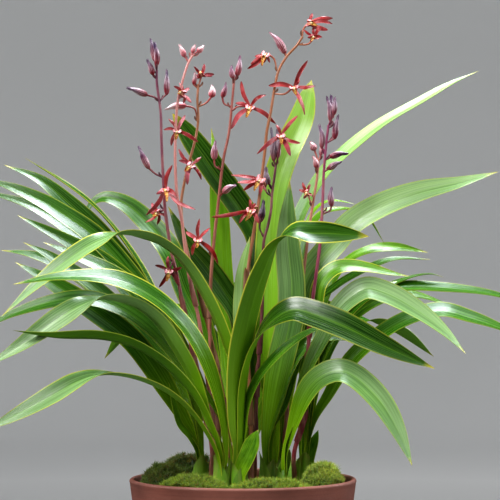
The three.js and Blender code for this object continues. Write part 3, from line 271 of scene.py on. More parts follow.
# Six colours a spike: its stem from low to high, its buds from base to tip, its tepals' two faces
SPIKES = {
  "spike_far_left": {
    "foot": (-30, -22),
    "colors": [(138, 70, 64), (106, 52, 76), (112, 18, 32),
      (54, 38, 76), (142, 10, 8), (164, 60, 72)],
    "stem": points(-31,-20,240, -37,-12,270, -45,-4,310, -55,2,356, -61,4,386, -66,5,411, -71,5,431,
      -78,2,476, -80,0,506, -82,-2,546, -83,-3,576, -87,-4,606, -87,-4,618),
    "buds": [
      bud(-87,-4,610, -91,-6,614, -97,-8,630),
      bud(-87,-4,616, -89,-3,628, -94,-2,652),
      bud(-87,-4,617, -87,-6,624, -90,-8,648),
      bud(-83,-3,588, -77,-3,594, -77,-3,620),
      bud(-83,-3,586, -88,-5,590, -97,-7,593, -118,-11,601, size=1.15),
      bud(-80,0,509, -88,-3,513, -95,-5,519, -106,-8,542, size=1.1),
    ],
    "flowers": [
      points(-80,0,497, -78,-6,498, -71,-12,522, -97,-14,471, -48,-13,476, -86,-16,493, -66,-18,489,
        -75,-20,486),
      points(-78,2,478, -84,4,474, -98,2,464, -92,8,484, -74,8,466, -96,10,476, -86,12,462, -92,0,470),
      points(-70,5,426, -74,2,416, -88,0,421, -61,0,419, -84,3,399, -64,3,401, -75,6,431, -76,-6,404),
    ],
  },
  "spike_left_pale": {
    "foot": (-27, 6),
    "colors": [(156, 94, 80), (204, 142, 138), (182, 80, 88),
      (216, 180, 180), (156, 40, 40), (212, 138, 144)],
    "stem": points(-27,7,240, -30,9,270, -36,11,310, -44,13,366, -54,14,410, -59,14,446, -62,14,470,
      -66,14,490, -68,14,520, -68,14,551, -66,14,585, -60,14,611, -55,14,626, -51,14,633),
    "buds": [
      bud(-55,14,627, -59,13,632, -65,12,645),
      bud(-52,14,631, -51,14,636, -48,14,645, size=0.8),
      bud(-52,14,632, -46,15,637, -39,16,644),
    ],
    "flowers": [
      points(-65,14,590, -60,14,594, -70,12,602, -52,12,585, -60,16,584, -54,18,600, -64,20,606,
        -68,16,596),
      points(-68,14,548, -66,18,557, -80,14,558, -76,16,568, -45,14,545, -58,20,572, -72,22,541,
        -68,10,547),
    ],
  },
  "spike_left_nodding": {
    "foot": (-12, 14),
    "colors": [(140, 96, 58), (160, 108, 76), (162, 50, 62),
      (214, 190, 192), (140, 16, 16), (186, 110, 126)],
    "stem": points(-13,15,240, -18,18,280, -28,21,330, -40,23,380, -52,24,420, -60,25,456, -62,25,484,
      -59,25,504, -54,25,526, -50,25,540, -47,25,553, -45,25,570, -46,25,588, -45,25,604),
    "buds": [
      bud(-46,25,600, -50,24,604, -49,23,617, size=0.8),
      bud(-45,25,581, -37,26,585, -32,27,591, -32,27,604, size=1.3),
      bud(-46,25,567, -49,25,579, -58,25,582, -80,25,578, size=1.3),
    ],
    "flowers": [
      points(-45,25,602, -42,25,612, -50,24,622, -29,25,614, -31,28,611, -50,28,612, -39,26,625,
        -44,20,618),
      points(-55,25,524, -52,20,522, -65,22,538, -65,22,526, -41,20,507, -56,20,502, -42,24,530,
        -60,17,514),
    ],
  },
  "spike_middle_left": {
    "foot": (-24, -8),
    "colors": [(134, 86, 62), (146, 80, 72), (132, 38, 46),
      (112, 70, 102), (146, 10, 8), (204, 100, 108)],
    "stem": points(-24,-8,240, -26,-6,280, -30,-2,320, -33,2,350, -33,4,381, -32,5,410, -30,5,436,
      -28,4,456, -24,2,491, -20,0,526, -14,-2,556, -11,-3,586, -9,-3,608),
    "buds": [
      bud(-9,-3,607, -6,-2,613, -3,0,634, size=1.1),
      bud(-10,-3,604, -10,-5,610, -12,-8,624),
      bud(-12,-3,581, -19,-5,584, -21,-6,591, -17,-7,607),
      bud(-22,0,517, -28,-3,521, -29,-4,528, -28,-5,548, size=1.2),
      bud(-24,2,491, -20,-2,494, -6,-4,502, size=1.2),
    ],
    "flowers": [
      points(-12,-3,577, -5,-4,581, 7,-5,581, -2,-6,607, -8,-8,585, 23,-8,594, -12,-6,558, 32,-5,562,
        3,-12,569),
      points(-30,5,432, -38,4,440, -45,3,447, -43,2,468, -33,2,459, -24,4,422, -58,3,455, -51,5,431,
        -46,-5,438),
    ],
  },
  "spike_tallest": {
    "foot": (8, -12),
    "colors": [(128, 84, 52), (150, 94, 58), (106, 6, 14),
      (156, 104, 118), (140, 10, 8), (198, 88, 90)],
    "stem": points(8,-12,240, 7,-13,290, 4,-14,340, 3,-15,396, 5,-15,416, 11,-15,456, 16,-15,486,
      19,-15,511, 22,-15,536, 24,-15,556, 28,-15,576, 32,-15,601, 36,-15,618, 44,-15,632, 54,-15,643,
      60,-15,652),
    "buds": [
      bud(44,-15,632, 42,-14,636, 26,-12,658, size=1.3),
    ],
    "flowers": [
      points(60,-15,652, 61,-15,660, 66,-15,666, 84,-13,672, 91,-16,671, 91,-19,667, 86,-20,659, 70,-12,676,
        76,-22,664),
      points(55,-15,644, 66,-16,645, 72,-17,652, 72,-17,664, 80,-22,663, 62,-22,660, 66,-24,651, 80,-24,652,
        68,-25,648),
      points(34,-15,618, 31,-15,630, 23,-15,635, 4,-17,619, 8,-19,624, 27,-20,626, 12,-13,632, 20,-12,625,
        17,-22,622),
      points(32,-15,594, 42,-17,594, 51,-18,601, 65,-20,628, 25,-19,602, 73,-20,603, 66,-22,574, 56,-16,611,
        53,-25,592),
      points(18,-15,498, 22,-19,503, 18,-20,508, -12,-20,511, -6,-23,505, 0,-22,496, 17,-24,492, 24,-23,496,
        9,-26,495),
      points(14,-15,472, 14,-20,480, 8,-22,477, -32,-22,469, 13,-25,483, -4,-26,463, 16,-27,463, 7,-24,488,
        4,-30,464),
    ],
  },
  "spike_dark": {
    "foot": (12, 8),
    "colors": [(106, 44, 50), (84, 34, 50), (56, 12, 30),
      (44, 32, 66), (146, 12, 12), (178, 70, 80)],
    "stem": points(12,8,240, 13,8,280, 15,8,316, 19,8,376, 20,8,420, 21,8,446, 25,8,461, 28,8,476, 29,8,491,
      31,8,506, 33,8,522),
    "buds": [
      bud(33,8,519, 31,8,527, 28,10,562, size=1.1),
      bud(33,8,521, 35,10,530, 34,13,560, size=1.1),
      bud(30,8,498, 26,6,503, 23,4,521),
      bud(29,8,490, 24,5,494, 22,4,500, 22,3,520, size=0.9),
      bud(21,8,450, 17,6,457, 17,5,465, 21,4,488, size=1.2),
    ],
    "flowers": [
      points(33,8,521, 37,2,540, 38,-3,552, 55,-5,573, 14,-29,533, 58,-5,544, 48,-6,531, 33,-4,563,
        39,-10,542),
    ],
  },
  "spike_right": {
    "foot": (42, 4),
    "colors": [(160, 100, 80), (176, 114, 98), (150, 58, 70),
      (198, 152, 154), (140, 26, 24), (192, 108, 106)],
    "stem": points(42,6,240, 44,9,280, 50,11,330, 56,12,376, 61,12,416, 66,12,456, 69,12,476, 72,12,494,
      74,12,506, 75,12,516, 76,12,527),
    "buds": [
      bud(76,12,525, 72,12,537, 67,12,546, size=1.2),
      bud(75,12,514, 74,10,519, 70,8,532),
      bud(76,12,526, 78,13,532, 79,14,545, size=0.8),
    ],
    "flowers": [
      points(70,12,481, 67,10,487, 65,9,494, 60,7,505, 56,8,497, 68,8,503, 61,12,488, 70,8,490, 61,4,492),
    ],
  },
  "spike_far_right": {
    "foot": (50, -10),
    "colors": [(132, 32, 48), (130, 52, 88), (104, 18, 42),
      (72, 38, 80), (124, 14, 24), (170, 86, 104)],
    "stem": points(51,-10,235, 57,-10,256, 60,-11,271, 63,-12,310, 66,-13,350, 69,-14,381, 73,-15,411,
      77,-15,441, 80,-13,486, 81,-12,511, 83,-11,536, 84,-10,546, 86,-10,562),
    "buds": [
      bud(86,-10,560, 88,-10,567, 84,-11,593),
      bud(86,-10,561, 90,-8,570, 89,-6,594),
      bud(86,-10,562, 91,-12,573, 93,-13,592),
      bud(84,-10,544, 92,-10,549, 96,-10,574, size=1.1),
      bud(83,-11,534, 79,-10,540, 76,-9,564),
      bud(83,-11,527, 88,-11,530, 107,-11,534, size=1.1),
      bud(81,-12,515, 86,-14,518, 100,-16,526, size=1.1),
      bud(81,-12,473, 87,-13,476, 89,-14,481, 89,-15,501, size=1.1),
    ],
    "flowers": [],
  },
}

# Moss cushions: middle, reach, height, turn, and shaded and bright colours, darker on the left
CUSHIONS = {
  "moss_left": ((-78, -6), (21, 38), 22, 0.4, (34, 52, 12), (112, 140, 36)),
  "moss_back_left": ((-56, 66), (32, 22), 26, 2.1, (34, 50, 14), (100, 124, 36)),
  "moss_front": ((-48, -74), (32, 22), 17, 1.2, (60, 86, 16), (164, 190, 46)),
  "moss_front_right": ((28, -74), (38, 21), 14, 3.3, (64, 92, 18), (170, 194, 50)),
  "moss_right": ((78, -34), (20, 28), 25, 4.4, (78, 106, 26), (196, 212, 84)),
  "moss_back_right": ((60, 72), (30, 18), 18, 5.2, (66, 94, 22), (156, 182, 56)),
}


def color(red, green, blue):
    """A linear colour from 0 to 255 display values."""
    values = np.array([red, green, blue], float) / 255
    return np.where(values <= 0.04045, values / 12.92, ((values + 0.055) / 1.055) ** 2.4)


def blend(low, high, share):
    return np.array(low, float) + np.subtract(high, low) * share


def seen(places):
    """Real places of points whose x and z are as seen in the plane of the pot's axis."""
    places = np.atleast_2d(places)[:, :3]
    real = EYE + (places - EYE) * (1 + places[:, 1:2] / -EYE[1])
    real[:, 1] = places[:, 1]
    return real


def unit(vectors):
    return vectors / np.maximum(np.linalg.norm(vectors, axis=-1, keepdims=True), 1e-9)


def smooth(s, low, high):
    x = np.clip((s - low) / (high - low), 0, 1)
    return x * x * (3 - 2 * x)


def curve_at(knots, t):
    """Places at parameters t, a whole number at each knot, on a centripetal curve through them."""
    p = np.vstack([2 * knots[0] - knots[1], knots, 2 * knots[-1] - knots[-2]])
    k = np.clip(t.astype(int), 0, len(knots) - 2)
    w = (t - k)[:, None]
    a, b, c, d = p[k], p[k + 1], p[k + 2], p[k + 3]

    def gap(u, v):
        return np.sqrt(np.maximum(np.linalg.norm(v - u, axis=1, keepdims=True), 1e-4))

    before, between, after = gap(a, b), gap(b, c), gap(c, d)
    m = ((b - a) / before - (c - a) / (before + between) + (c - b) / between) * between
    n = ((c - b) / between - (d - b) / (between + after) + (d - c) / after) * between
    return b + m * w + (3 * (c - b) - 2 * m - n) * w**2 + (2 * (b - c) + m + n) * w**3


def course(knots, rings, bend_weight):
    """Parameters, places, tangents and shares of the length at rings that crowd where it bends."""
    fine = np.linspace(0, len(knots) - 1, COURSE_STEPS)
    places = curve_at(knots, fine)
    along = unit(np.gradient(places, axis=0))
    steps = np.linalg.norm(np.diff(places, axis=0), axis=1)
    turns = np.arccos(np.clip((along[1:] * along[:-1]).sum(1), -1, 1))
    reach = np.concatenate([[0], np.cumsum(steps + bend_weight * turns)])
    run = np.concatenate([[0], np.cumsum(steps)])
    t = np.interp(np.linspace(0, reach[-1], rings), reach, fine)
    tangents = unit(np.stack([np.interp(t, fine, along[:, i]) for i in range(3)], 1))
    return t, curve_at(knots, t), tangents, np.interp(t, fine, run) / run[-1], run[-1]


class Body:
    """Collects the vertices, faces and values of one piece, in millimetres."""

    def __init__(self):
        self.points, self.faces, self.slots, self.values = [], [], [], {}
        self.count = 0

    def add(self, places, faces, slot=0, **values):
        places = np.asarray(places, float).reshape(-1, 3)
        self.faces += [[i + self.count for i in face] for face in faces]
        self.slots += [slot] * len(faces)
        for key in {**self.values, **values}:
            width = 3 if key == "tint" else 1
            flat = np.zeros((len(places), width))
            flat[:] = np.reshape(values.get(key, np.zeros(width)), (-1, width))
            self.values.setdefault(key, [np.zeros((self.count, width))]).append(flat)
        self.points.append(places)
        self.count += len(places)

    def make(self, name, materials, sharp=60.0):
        mesh = bpy.data.meshes.new(name)
        mesh.from_pydata(np.vstack(self.points) * MM, [], self.faces)
        for material in materials:
            mesh.materials.append(material)
        mesh.polygons.foreach_set("material_index", self.slots)
        mesh.polygons.foreach_set("use_smooth", [True] * len(self.faces))
        for key, rows in self.values.items():
            flat = np.vstack(rows)
            if key == "tint":
                layer = mesh.color_attributes.new(key, "FLOAT_COLOR", "POINT")
                layer.data.foreach_set("color", np.hstack([flat, np.ones((len(flat), 1))]).ravel())
            else:
                layer = mesh.attributes.new(key, "FLOAT", "POINT")
                layer.data.foreach_set("value", flat.ravel())
        mesh.validate()
        mesh.set_sharp_from_angle(angle=math.radians(sharp))
        piece = bpy.data.objects.new(name, mesh)
        bpy.context.scene.collection.objects.link(piece)
        return piece


def put(piece, node):
    """Puts a finished piece in the place of its solid."""
    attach(piece, "root")
    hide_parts(node)


def round_faces(rings, sides):
    """Quads round a stack of rings, each closed on itself."""
    return [(i * sides + j, i * sides + k, (i + 1) * sides + k, (i + 1) * sides + j)
            for i in range(rings - 1) for j, k in zip(range(sides), [*range(1, sides), 0])]


def circle(sides):
    return np.linspace(0, 2 * np.pi, sides, endpoint=False)


def loft(body, loops, slot, strip=False, **values):
    """Adds a closed skin over loops of points. A flat piece's ends are closed as strips."""
    rings, sides, _ = loops.shape
    faces, last = round_faces(rings, sides), (rings - 1) * sides
    if strip:
        for j in range(sides // 2 - 1):
            k = sides - 1 - j
            faces += [(j, k, k - 1, j + 1), (last + j, last + j + 1, last + k - 1, last + k)]
    else:
        faces += [tuple(range(sides - 1, -1, -1)), tuple(range(last, last + sides))]
    body.add(loops, faces, slot, **values)


def slab(body, middle, up, thick, slot, across, share, tints=None, **values):
    """Adds a thin closed sheet round a grid of middle points, with a tint for each of its faces."""
    rows, columns, _ = middle.shape
    rise = up * thick[..., None] / 2
    under = np.tile(np.repeat([0.0, 1.0], columns), rows)
    if tints is not None:
        values["tint"] = np.where(under[:, None] > 0, tints[1], tints[0])
    loft(body, np.concatenate([middle + rise, (middle - rise)[:, ::-1]], 1), slot, True, under=under,
         across=np.tile([*across, *across[::-1]], rows), along=np.repeat(share, 2 * columns), **values)


def blade(body, places, axes, half, lift, thick, slot, across, share, **values):
    """Adds a sheet along a course, as wide and as lifted out of its plane as given."""
    wide, up = (axis[:, None] for axis in axes)
    middle = places[:, None] + wide * (half[:, None] * across)[..., None] + up * lift[..., None]
    slab(body, middle, up, thick, slot, across, share, **values)


def blade_axes(tangents, face, degrees):
    """The directions across a blade and out of it, turned from where the viewer sees it flat."""
    front = unit(face - tangents * (tangents @ face)[:, None])
    across = np.cross(tangents, front)
    c, s = np.cos(np.radians(degrees))[:, None], np.sin(np.radians(degrees))[:, None]
    return across * c + front * s, front * c - across * s


def strap_leaf(body, knots, tilts, one, face, rng):
    """One leaf: a strap folded along its midrib, closely at its base, with thin wavy edges."""
    t, places, tangents, share, length = course(knots, LEAF_RINGS, LEAF_BEND)
    side = 1.0 if (knots[-1] - knots[0]) @ np.cross(UPWARD, face) >= 0 else -1.0
    fine = np.linspace(0, len(knots) - 1, 300)
    padded = np.pad(np.interp(fine, range(len(tilts)), tilts), 12, "edge")
    eased = np.convolve(padded, np.ones(25) / 25, "valid")
    axes = blade_axes(tangents, face, side * np.interp(t, fine, eased))
    base = 0.36 if length > SHORT_LEAF else 0.8
    wide = base + (1 - base) * smooth(share, 0.04, 0.42)
    end = 1 - np.clip((share - 0.66) / 0.34, 0, 1) ** one["taper"]
    half = np.maximum(0.25, one["width"] * wide * np.maximum(0.02, end) / 2)
    v = np.linspace(-1, 1, LEAF_ACROSS)
    fold = LEAF_FOLD + BASE_FOLD * (1 - smooth(share, 0.0, 0.3))
    lift = (fold * half)[:, None] * np.abs(v) ** 1.12
    calm = smooth(share, 0.2, 0.5) * (1 - smooth(share, 0.9, 1.0))
    for phase, period, edge in zip(rng.uniform(0, 6.28, 2), (17, 21), (v, -v)):
        wave = EDGE_WAVE * calm * np.sin(share * length / period + phase)
        lift += wave[:, None] * np.maximum(edge, 0) ** 2
    thick = (0.4 + 0.75 * (1 - np.abs(v)) ** 1.5) * np.minimum(1, half / 4)[:, None]
    shade = rng.uniform(0, 1)
    blade(body, places, axes, half, lift, thick, BLADE_SLOT, v, share, shade=shade, **one["looks"])


def sheath(body, base, height, radius, turn, rng, slot, tint, lean=(0.0, 0.0), spread=0.25):
    """A papery scale that wraps a stem or bulb and ends in a point."""
    rows, columns = 12, 9
    s = np.linspace(0, 1, rows)
    v = np.linspace(-1, 1, columns)
    half = np.radians(118) * (1 - s**2.2) + 0.05
    out = radius * (1 - 0.35 * smooth(s, 0.2, 1.0)) + spread * height * s**3 * 0.3 + 0.35
    angle = turn + half[:, None] * v
    normal = np.stack([np.cos(angle), np.sin(angle), np.zeros_like(angle)], -1)
    centre = np.array(base, float) + np.outer(s * height, [*lean, 1.0])
    middle = centre[:, None] + normal * out[:, None, None]
    shade, tint = rng.uniform(0, 1), color(*tint)
    slab(body, middle, normal, np.full((rows, columns), 0.35), slot, v, s, (tint, tint), shade=shade)


def shoot(name, foot, leaves, materials):
    """A bulb with its leaves and the old scales round its base."""
    rng = np.random.default_rng(sum(map(ord, name)))
    body, foot = Body(), np.array([*foot, 0.0])
    low = SOIL_TOP - SHOOT_HOLE_DEPTH + GAP
    heights = np.array([low, *(SOIL_TOP + BULB_HEIGHT * np.linspace(0, 1, 9))])
    radii = BULB_RADIUS * np.array([0.72, 0.78, 0.9, 0.97, 0.96, 0.88, 0.76, 0.6, 0.42, 0.22])
    angles = circle(BULB_SIDES)
    ring = np.stack([np.cos(angles), np.sin(angles), 0 * angles], 1)
    loops = foot + ring * radii[:, None, None] + UPWARD * heights[:, None, None]
    share = (heights - low) / (heights[-1] - low)
    across = np.tile(np.sin(angles * 3), len(heights))
    loft(body, loops, BULB_SLOT, along=np.repeat(share, BULB_SIDES), across=across)
    face = np.array([1.0, 0.0, 0.0]) if name == SIDE_SHOOT else TO_VIEWER
    for one in leaves:
        route = one["route"]
        away = (seen(route[1])[0] - foot) * [1, 1, 0]
        root = foot + unit(away) * BULB_RADIUS * 0.4 + UPWARD * (SOIL_TOP + BULB_HEIGHT * 0.4)
        strap_leaf(body, np.vstack([root, seen(route)]), [route[0, 3], *route[:, 3]], one, face, rng)
    turn = rng.uniform(0, 6.28)
    for k, (tint, tall) in enumerate(OLD_SCALES):
        height = tall * rng.uniform(0.85, 1.15)
        sheath(body, foot + UPWARD * (SOIL_TOP + 0.5), height, BULB_RADIUS + 0.25 * k, turn + 2.4 * k, rng,
               SCALE_SLOT, tint)
    put(body.make(name + "_leaves", materials), name)


def tube(body, knots, radius_at, sides, slot, rings, tints, fluted=False, **values):
    """A round stem tinted from its base to its end. radius_at gives the radius for shares of its length."""
    _, places, tangents, share, _ = course(knots, rings, STEM_BEND)
    front = np.zeros((rings, 3))
    before = np.array([0.0, -1.0, 0.01])
    for i, along in enumerate(tangents):
        before = front[i] = unit(before - along * (before @ along))
    angles = circle(sides)
    radius = radius_at(share)[:, None] * np.ones(sides)
    if fluted:
        radius *= 1 + (0.1 + 0.1 * share)[:, None] * np.cos(3 * angles)
    c, s = np.cos(angles)[:, None], np.sin(angles)[:, None]
    side = np.cross(tangents, front)
    loops = places[:, None] + radius[..., None] * (front[:, None] * c + side[:, None] * s)
    mixed = smooth(share, 0.1, 0.9) if fluted else share
    tint = np.repeat(blend(color(*tints[0]), color(*tints[1]), mixed[:, None]), sides, 0)
    along, across = np.repeat(share, sides), np.tile(s[:, 0], rings)
    loft(body, loops, slot, tint=tint, along=along, across=across, **values)
    return places, tangents, share


def tepal(body, route, width, tints, rng, slot, cup, curl=0.0, blunt=0.0, twist=15.0):
    """A sepal, petal or lip: a thin lance-shaped blade, cupped, curled and twisted a little."""
    _, places, tangents, share, length = course(np.array(route), TEPAL_RINGS, TEPAL_BEND)
    end_on = abs(unit(route[-1] - route[0]) @ TO_VIEWER) > 0.85
    turn = rng.uniform(-twist, twist, 2)
    axes = blade_axes(tangents, UPWARD if end_on else TO_VIEWER, turn[0] + turn[1] * 1.6 * share)
    lance = (0.12 + share) ** 0.8 * np.maximum(1 - share, 0) ** 0.62 / 0.55
    round_end = np.sin(np.pi * np.clip(0.12 + 0.84 * share**0.7, 0, 1)) ** 0.55
    outline = blend(lance, round_end, blunt)
    half = width / 2 * np.maximum(outline, 0.07)
    v = np.linspace(-1, 1, TEPAL_ACROSS)
    lift = (cup * half)[:, None] * v**2 - 0.15 * (1 - v**4) - (curl * length * share**3)[:, None]
    ruffle = 0.22 * np.sin(share * length / 1.7 + rng.uniform(0, 6.28)) * np.minimum(1, half / 2)
    lift += ruffle[:, None] * v**4
    thick = (0.3 + 0.45 * (1 - np.abs(v))) * (0.5 + 0.5 * np.minimum(outline, 1))[:, None]
    level = 1 + rng.uniform(-0.15, 0.15)
    blade(body, places, axes, half, lift, thick, slot, v, share, tints=[color(*t) * level for t in tints],
          shade=rng.uniform(0, 1))


def ball(body, centre, flat, high, direction, slot, tint, rows=7, sides=10):
    """A small egg with its long axis along a direction."""
    w = unit(direction)
    u = unit(np.cross(w, [0.31, 0.9, 0.2]))
    lat, lon = np.linspace(-0.47, 0.47, rows) * np.pi, circle(sides)
    ring = u * np.cos(lon)[:, None] + np.cross(w, u) * np.sin(lon)[:, None]
    loops = centre + ring * (flat * np.cos(lat))[:, None, None] + w * (high * np.sin(lat))[:, None, None]
    loft(body, loops, slot, tint=color(*tint), along=np.repeat(lat / np.pi + 0.5, sides))


def open_flower(body, entry, colors, rng):
    """Narrow dark sepals, paler petals that hood the column, and a small rolled lip."""
    entry = seen(entry)
    stalk, tips, lip = entry[:-6], entry[-6:-1], entry[-1]
    heart = stalk[-1]
    stalk_tints = (colors[1], blend(colors[1], colors[5], 0.5))
    tube(body, stalk, lambda s: PEDICEL_RADIUS * (0.85 + 0.35 * s), STALK_SIDES, STEM_SLOT, 14, stalk_tints)
    for paleness, tip in zip(PALENESS, tips):
        reach = tip - heart
        length = np.linalg.norm(reach)
        pale = np.clip(paleness + rng.uniform(-0.15, 0.2), 0, 1)
        sideways = unit(np.cross(reach, TO_VIEWER)) * length * rng.uniform(-0.11, 0.11)
        middle = heart + reach * 0.5 + sideways + TO_VIEWER * rng.uniform(0.06, 0.18) * length
        width = TEPAL_WIDTH * (0.76 + 0.24 * pale) * min(1, 0.5 + length / 50)
        faces = (blend(colors[4], colors[5], pale), colors[5])
        tepal(body, [heart + reach * 0.6 / length, middle, tip], width, faces, rng, TEPAL_SLOT,
              cup=rng.uniform(-0.3, 0.55), curl=rng.uniform(-0.06, 0.14), twist=26.0)
    down, size = unit(lip - heart), np.linalg.norm(lip - heart)
    side = unit(np.cross(down, TO_VIEWER))

    def near(out, low, aside=0.0):
        return heart + TO_VIEWER * out + down * low + side * aside

    # Two short petals lean over the column like a hood.
    for turn in (-1, 1):
        bend, end = near(2.2, -1.6, 3.0 * turn), near(6.0, 0.3 * size, 1.9 * turn)
        route = [near(0, 0, 0.8 * turn), bend, end]
        tepal(body, route, 4.2, (blend(colors[5], HOOD_PINK, 0.35), colors[4]), rng, TEPAL_SLOT, -0.5)
    # The lip comes forward and rolls back under itself, with raised sides.
    route = [near(0.6, 0), near(3.4, 0.42 * size), near(1.6, 0.84 * size)]
    tepal(body, route, TEPAL_WIDTH * 0.8, LIP_TINTS, rng, LIP_SLOT, 0.6, curl=0.25, blunt=1.0)
    for turn in (-1, 1):
        bend, end = near(2.2, 0.2 * size, 2.4 * turn), near(3.6, 0.46 * size, 1.6 * turn)
        route = [near(0, 0, 0.6 * turn), bend, end]
        tepal(body, route, 2.6, LOBE_TINTS, rng, LIP_SLOT, 0.4)
    # The column arches over the lip and ends in a pale cap.
    arch = np.array([heart, near(2.6, 1.6), near(4.4, 3.4)])
    tube(body, arch, lambda s: 1.15 - 0.3 * s, STALK_SIDES, STEM_SLOT, 8, COLUMN_TINTS)
    ball(body, arch[-1], 1.15, 1.25, down + TO_VIEWER, STEM_SLOT, CAP_CREAM)


def closed_bud(body, entry, size, colors, rng):
    """A spindle of three closed sepals on its stalk, with their points just apart."""
    *stalk, tip = seen(entry)
    tube(body, np.array(stalk), lambda s: PEDICEL_RADIUS * (0.85 + 0.3 * s), STALK_SIDES, STEM_SLOT, 12,
         colors[1:3])
    base, fat = stalk[-1], BUD_RADIUS * size
    reach = tip - base
    along = unit(reach)
    sway = np.cross(along, [0, 1, 0]) * rng.uniform(-0.09, 0.09) * np.linalg.norm(reach)
    spine = np.array([base - reach * 0.04, base + reach * 0.5 + sway, tip - reach * 0.05])

    def swell(s):
        return np.maximum(0.3, fat * np.sin(np.pi * np.clip(0.1 + 0.9 * s**0.7, 0, 1)) ** 1.05)

    tube(body, spine, swell, BUD_SIDES, BUD_SLOT, 18, colors[2:4], fluted=True, shade=rng.uniform(0, 1))
    side = unit(np.cross(along, [0.2, 1, 0.1]))
    over = np.cross(along, side)
    for turn in np.radians([20, 140, 260]) + rng.uniform(0, 2):
        away = side * np.cos(turn) + over * np.sin(turn)
        start = base + reach * 0.6 + sway * 0.6 + away * fat * 0.35
        end = tip + away * rng.uniform(0.1, 1.1) - reach * rng.uniform(0.0, 0.08)
        faces = (blend(colors[3], BUD_PINK, rng.uniform(0, 0.35)), colors[2])
        middle = (start + end) / 2 + away * 0.1
        tepal(body, [start, middle, end], 1.7, faces, rng, BUD_SLOT, -0.4, twist=8.0)


def spike(name, entry, materials):
    """A stem with its sheaths, stalks, buds and flowers, and a small scale under each stalk."""
    rng = np.random.default_rng(7 + sum(map(ord, name)))
    body, colors, (x, y) = Body(), entry["colors"], entry["foot"]
    foot = [[x, y, SOIL_TOP - STEM_HOLE_DEPTH + GAP], [x, y, SOIL_TOP + 4]]
    joints = np.cumsum([0.16, 0.14, 0.13, 0.12, 0.11])

    def radius(s):
        knots = sum(np.exp(-((s - k) / 0.006) ** 2) for k in joints)
        return blend(STEM_RADIUS, STEM_TOP_RADIUS, s) * (1 + 0.12 * knots)

    places, tangents, share = tube(body, np.vstack([foot, seen(entry["stem"])]), radius, STEM_SIDES,
                                   STEM_SLOT, STEM_RINGS, colors[:2], shade=rng.uniform(0, 1))
    # Papery sheaths wrap the stem at its base and at its lower joints.
    for k, s in enumerate([0.015, 0.05, *joints[:3]]):
        i = int(np.argmin(np.abs(share - s)))
        lean = tangents[i][:2] / max(tangents[i][2], 0.3)
        tint, low = (DRY_SHEATHS[k], 24) if k < len(DRY_SHEATHS) else (0.8 * np.array(colors[0]), 26)
        sheath(body, places[i], rng.uniform(low, low + 10), radius(share[i]) + 0.5, rng.uniform(3.6, 5.8),
               rng, STEM_SLOT, tint, lean, 0.08)
    for one, size in entry["buds"]:
        closed_bud(body, one, size, colors, rng)
    for one in entry["flowers"]:
        open_flower(body, one, colors, rng)
    dark = 0.7 * np.array(colors[1])
    for one in [one for one, _ in entry["buds"]] + entry["flowers"]:
        start, after = seen(one)[:2]
        i = int(np.argmin(np.linalg.norm(places - start, axis=1)))
        outward = after - start - tangents[i] * ((after - start) @ tangents[i])
        outward = unit(outward) if np.linalg.norm(outward) > 0.3 else TO_VIEWER
        length, low = rng.uniform(6, 9), places[i] + outward * 1.2
        tip = low + tangents[i] * length * 0.75 + outward * length * 0.42
        middle = (low + tip) / 2 + outward * length * 0.1
        tepal(body, [low, middle, tip], 2.6, (dark, dark), rng, STEM_SLOT, 0.5)
    put(body.make(name + "_bloom", materials), name)


def wall_at(z):
    return BASE_RADIUS + (RIM_RADIUS - BASE_RADIUS) * z / POT_HEIGHT


def inner_at(z):
    return wall_at(z) - WALL


def turned(profile, sides, closed=True):
    """Points and faces turned from a profile that starts on the axis and, if closed, ends there."""
    angles = circle(sides)
    rings = profile[1:-1] if closed else profile[1:]
    places = [(r * math.cos(a), r * math.sin(a), z) for r, z in rings for a in angles]
    faces, top = round_faces(len(rings), sides), len(places) - sides
    places += [(0, 0, z) for _, z in (profile[0], profile[-1])[: 1 + closed]]
    for j, k in zip(range(sides), [*range(1, sides), 0]):
        faces += [(top + sides, k, j), (top + sides + 1, top + j, top + k)][: 1 + closed]
    return places, faces


def pot(material):
    """A tapered wall with a rounded lip, a chamfered foot and drainage holes."""
    round_lip, crown, shoulder = WALL / 2, RIM_RADIUS - WALL / 2, POT_HEIGHT - WALL / 2
    arc = np.linspace(0, np.pi, 9)
    lip = [(crown + round_lip * math.cos(a), shoulder + round_lip * math.sin(a)) for a in arc]
    outside = [(wall_at(z), z) for z in np.linspace(FOOT_CHAMFER, shoulder - 1, 40)]
    inside = [(inner_at(z), z) for z in np.linspace(shoulder - 1, FLOOR + 4, 24)]
    foot = [(0, 0), (30, 0), (BASE_RADIUS - 8, 0), (BASE_RADIUS - FOOT_CHAMFER, 0.3)]
    floor = [(inner_at(FLOOR) - 3, FLOOR), (30, FLOOR), (0, FLOOR)]
    body = Body()
    body.add(*turned([*foot, *outside, *lip, *inside, *floor], POT_SIDES))
    piece = body.make("clay_pot", [material], 40)
    for angle in circle(4) + np.pi / 4:
        at = Vector((DRAIN_CIRCLE * math.cos(angle), DRAIN_CIRCLE * math.sin(angle), FLOOR / 2)) * MM
        bpy.ops.mesh.primitive_cylinder_add(vertices=32, radius=DRAIN_RADIUS * MM, depth=0.03, location=at)
        cutter = bpy.context.object
        cut = piece.modifiers.new("drain", "BOOLEAN")
        cut.object, cut.operation, cut.solver = cutter, "DIFFERENCE", "EXACT"
        graph = bpy.context.evaluated_depsgraph_get()
        mesh = bpy.data.meshes.new_from_object(piece.evaluated_get(graph))
        piece.modifiers.clear()
        piece.data = mesh
        bpy.data.objects.remove(cutter)
    put(piece, "pot")


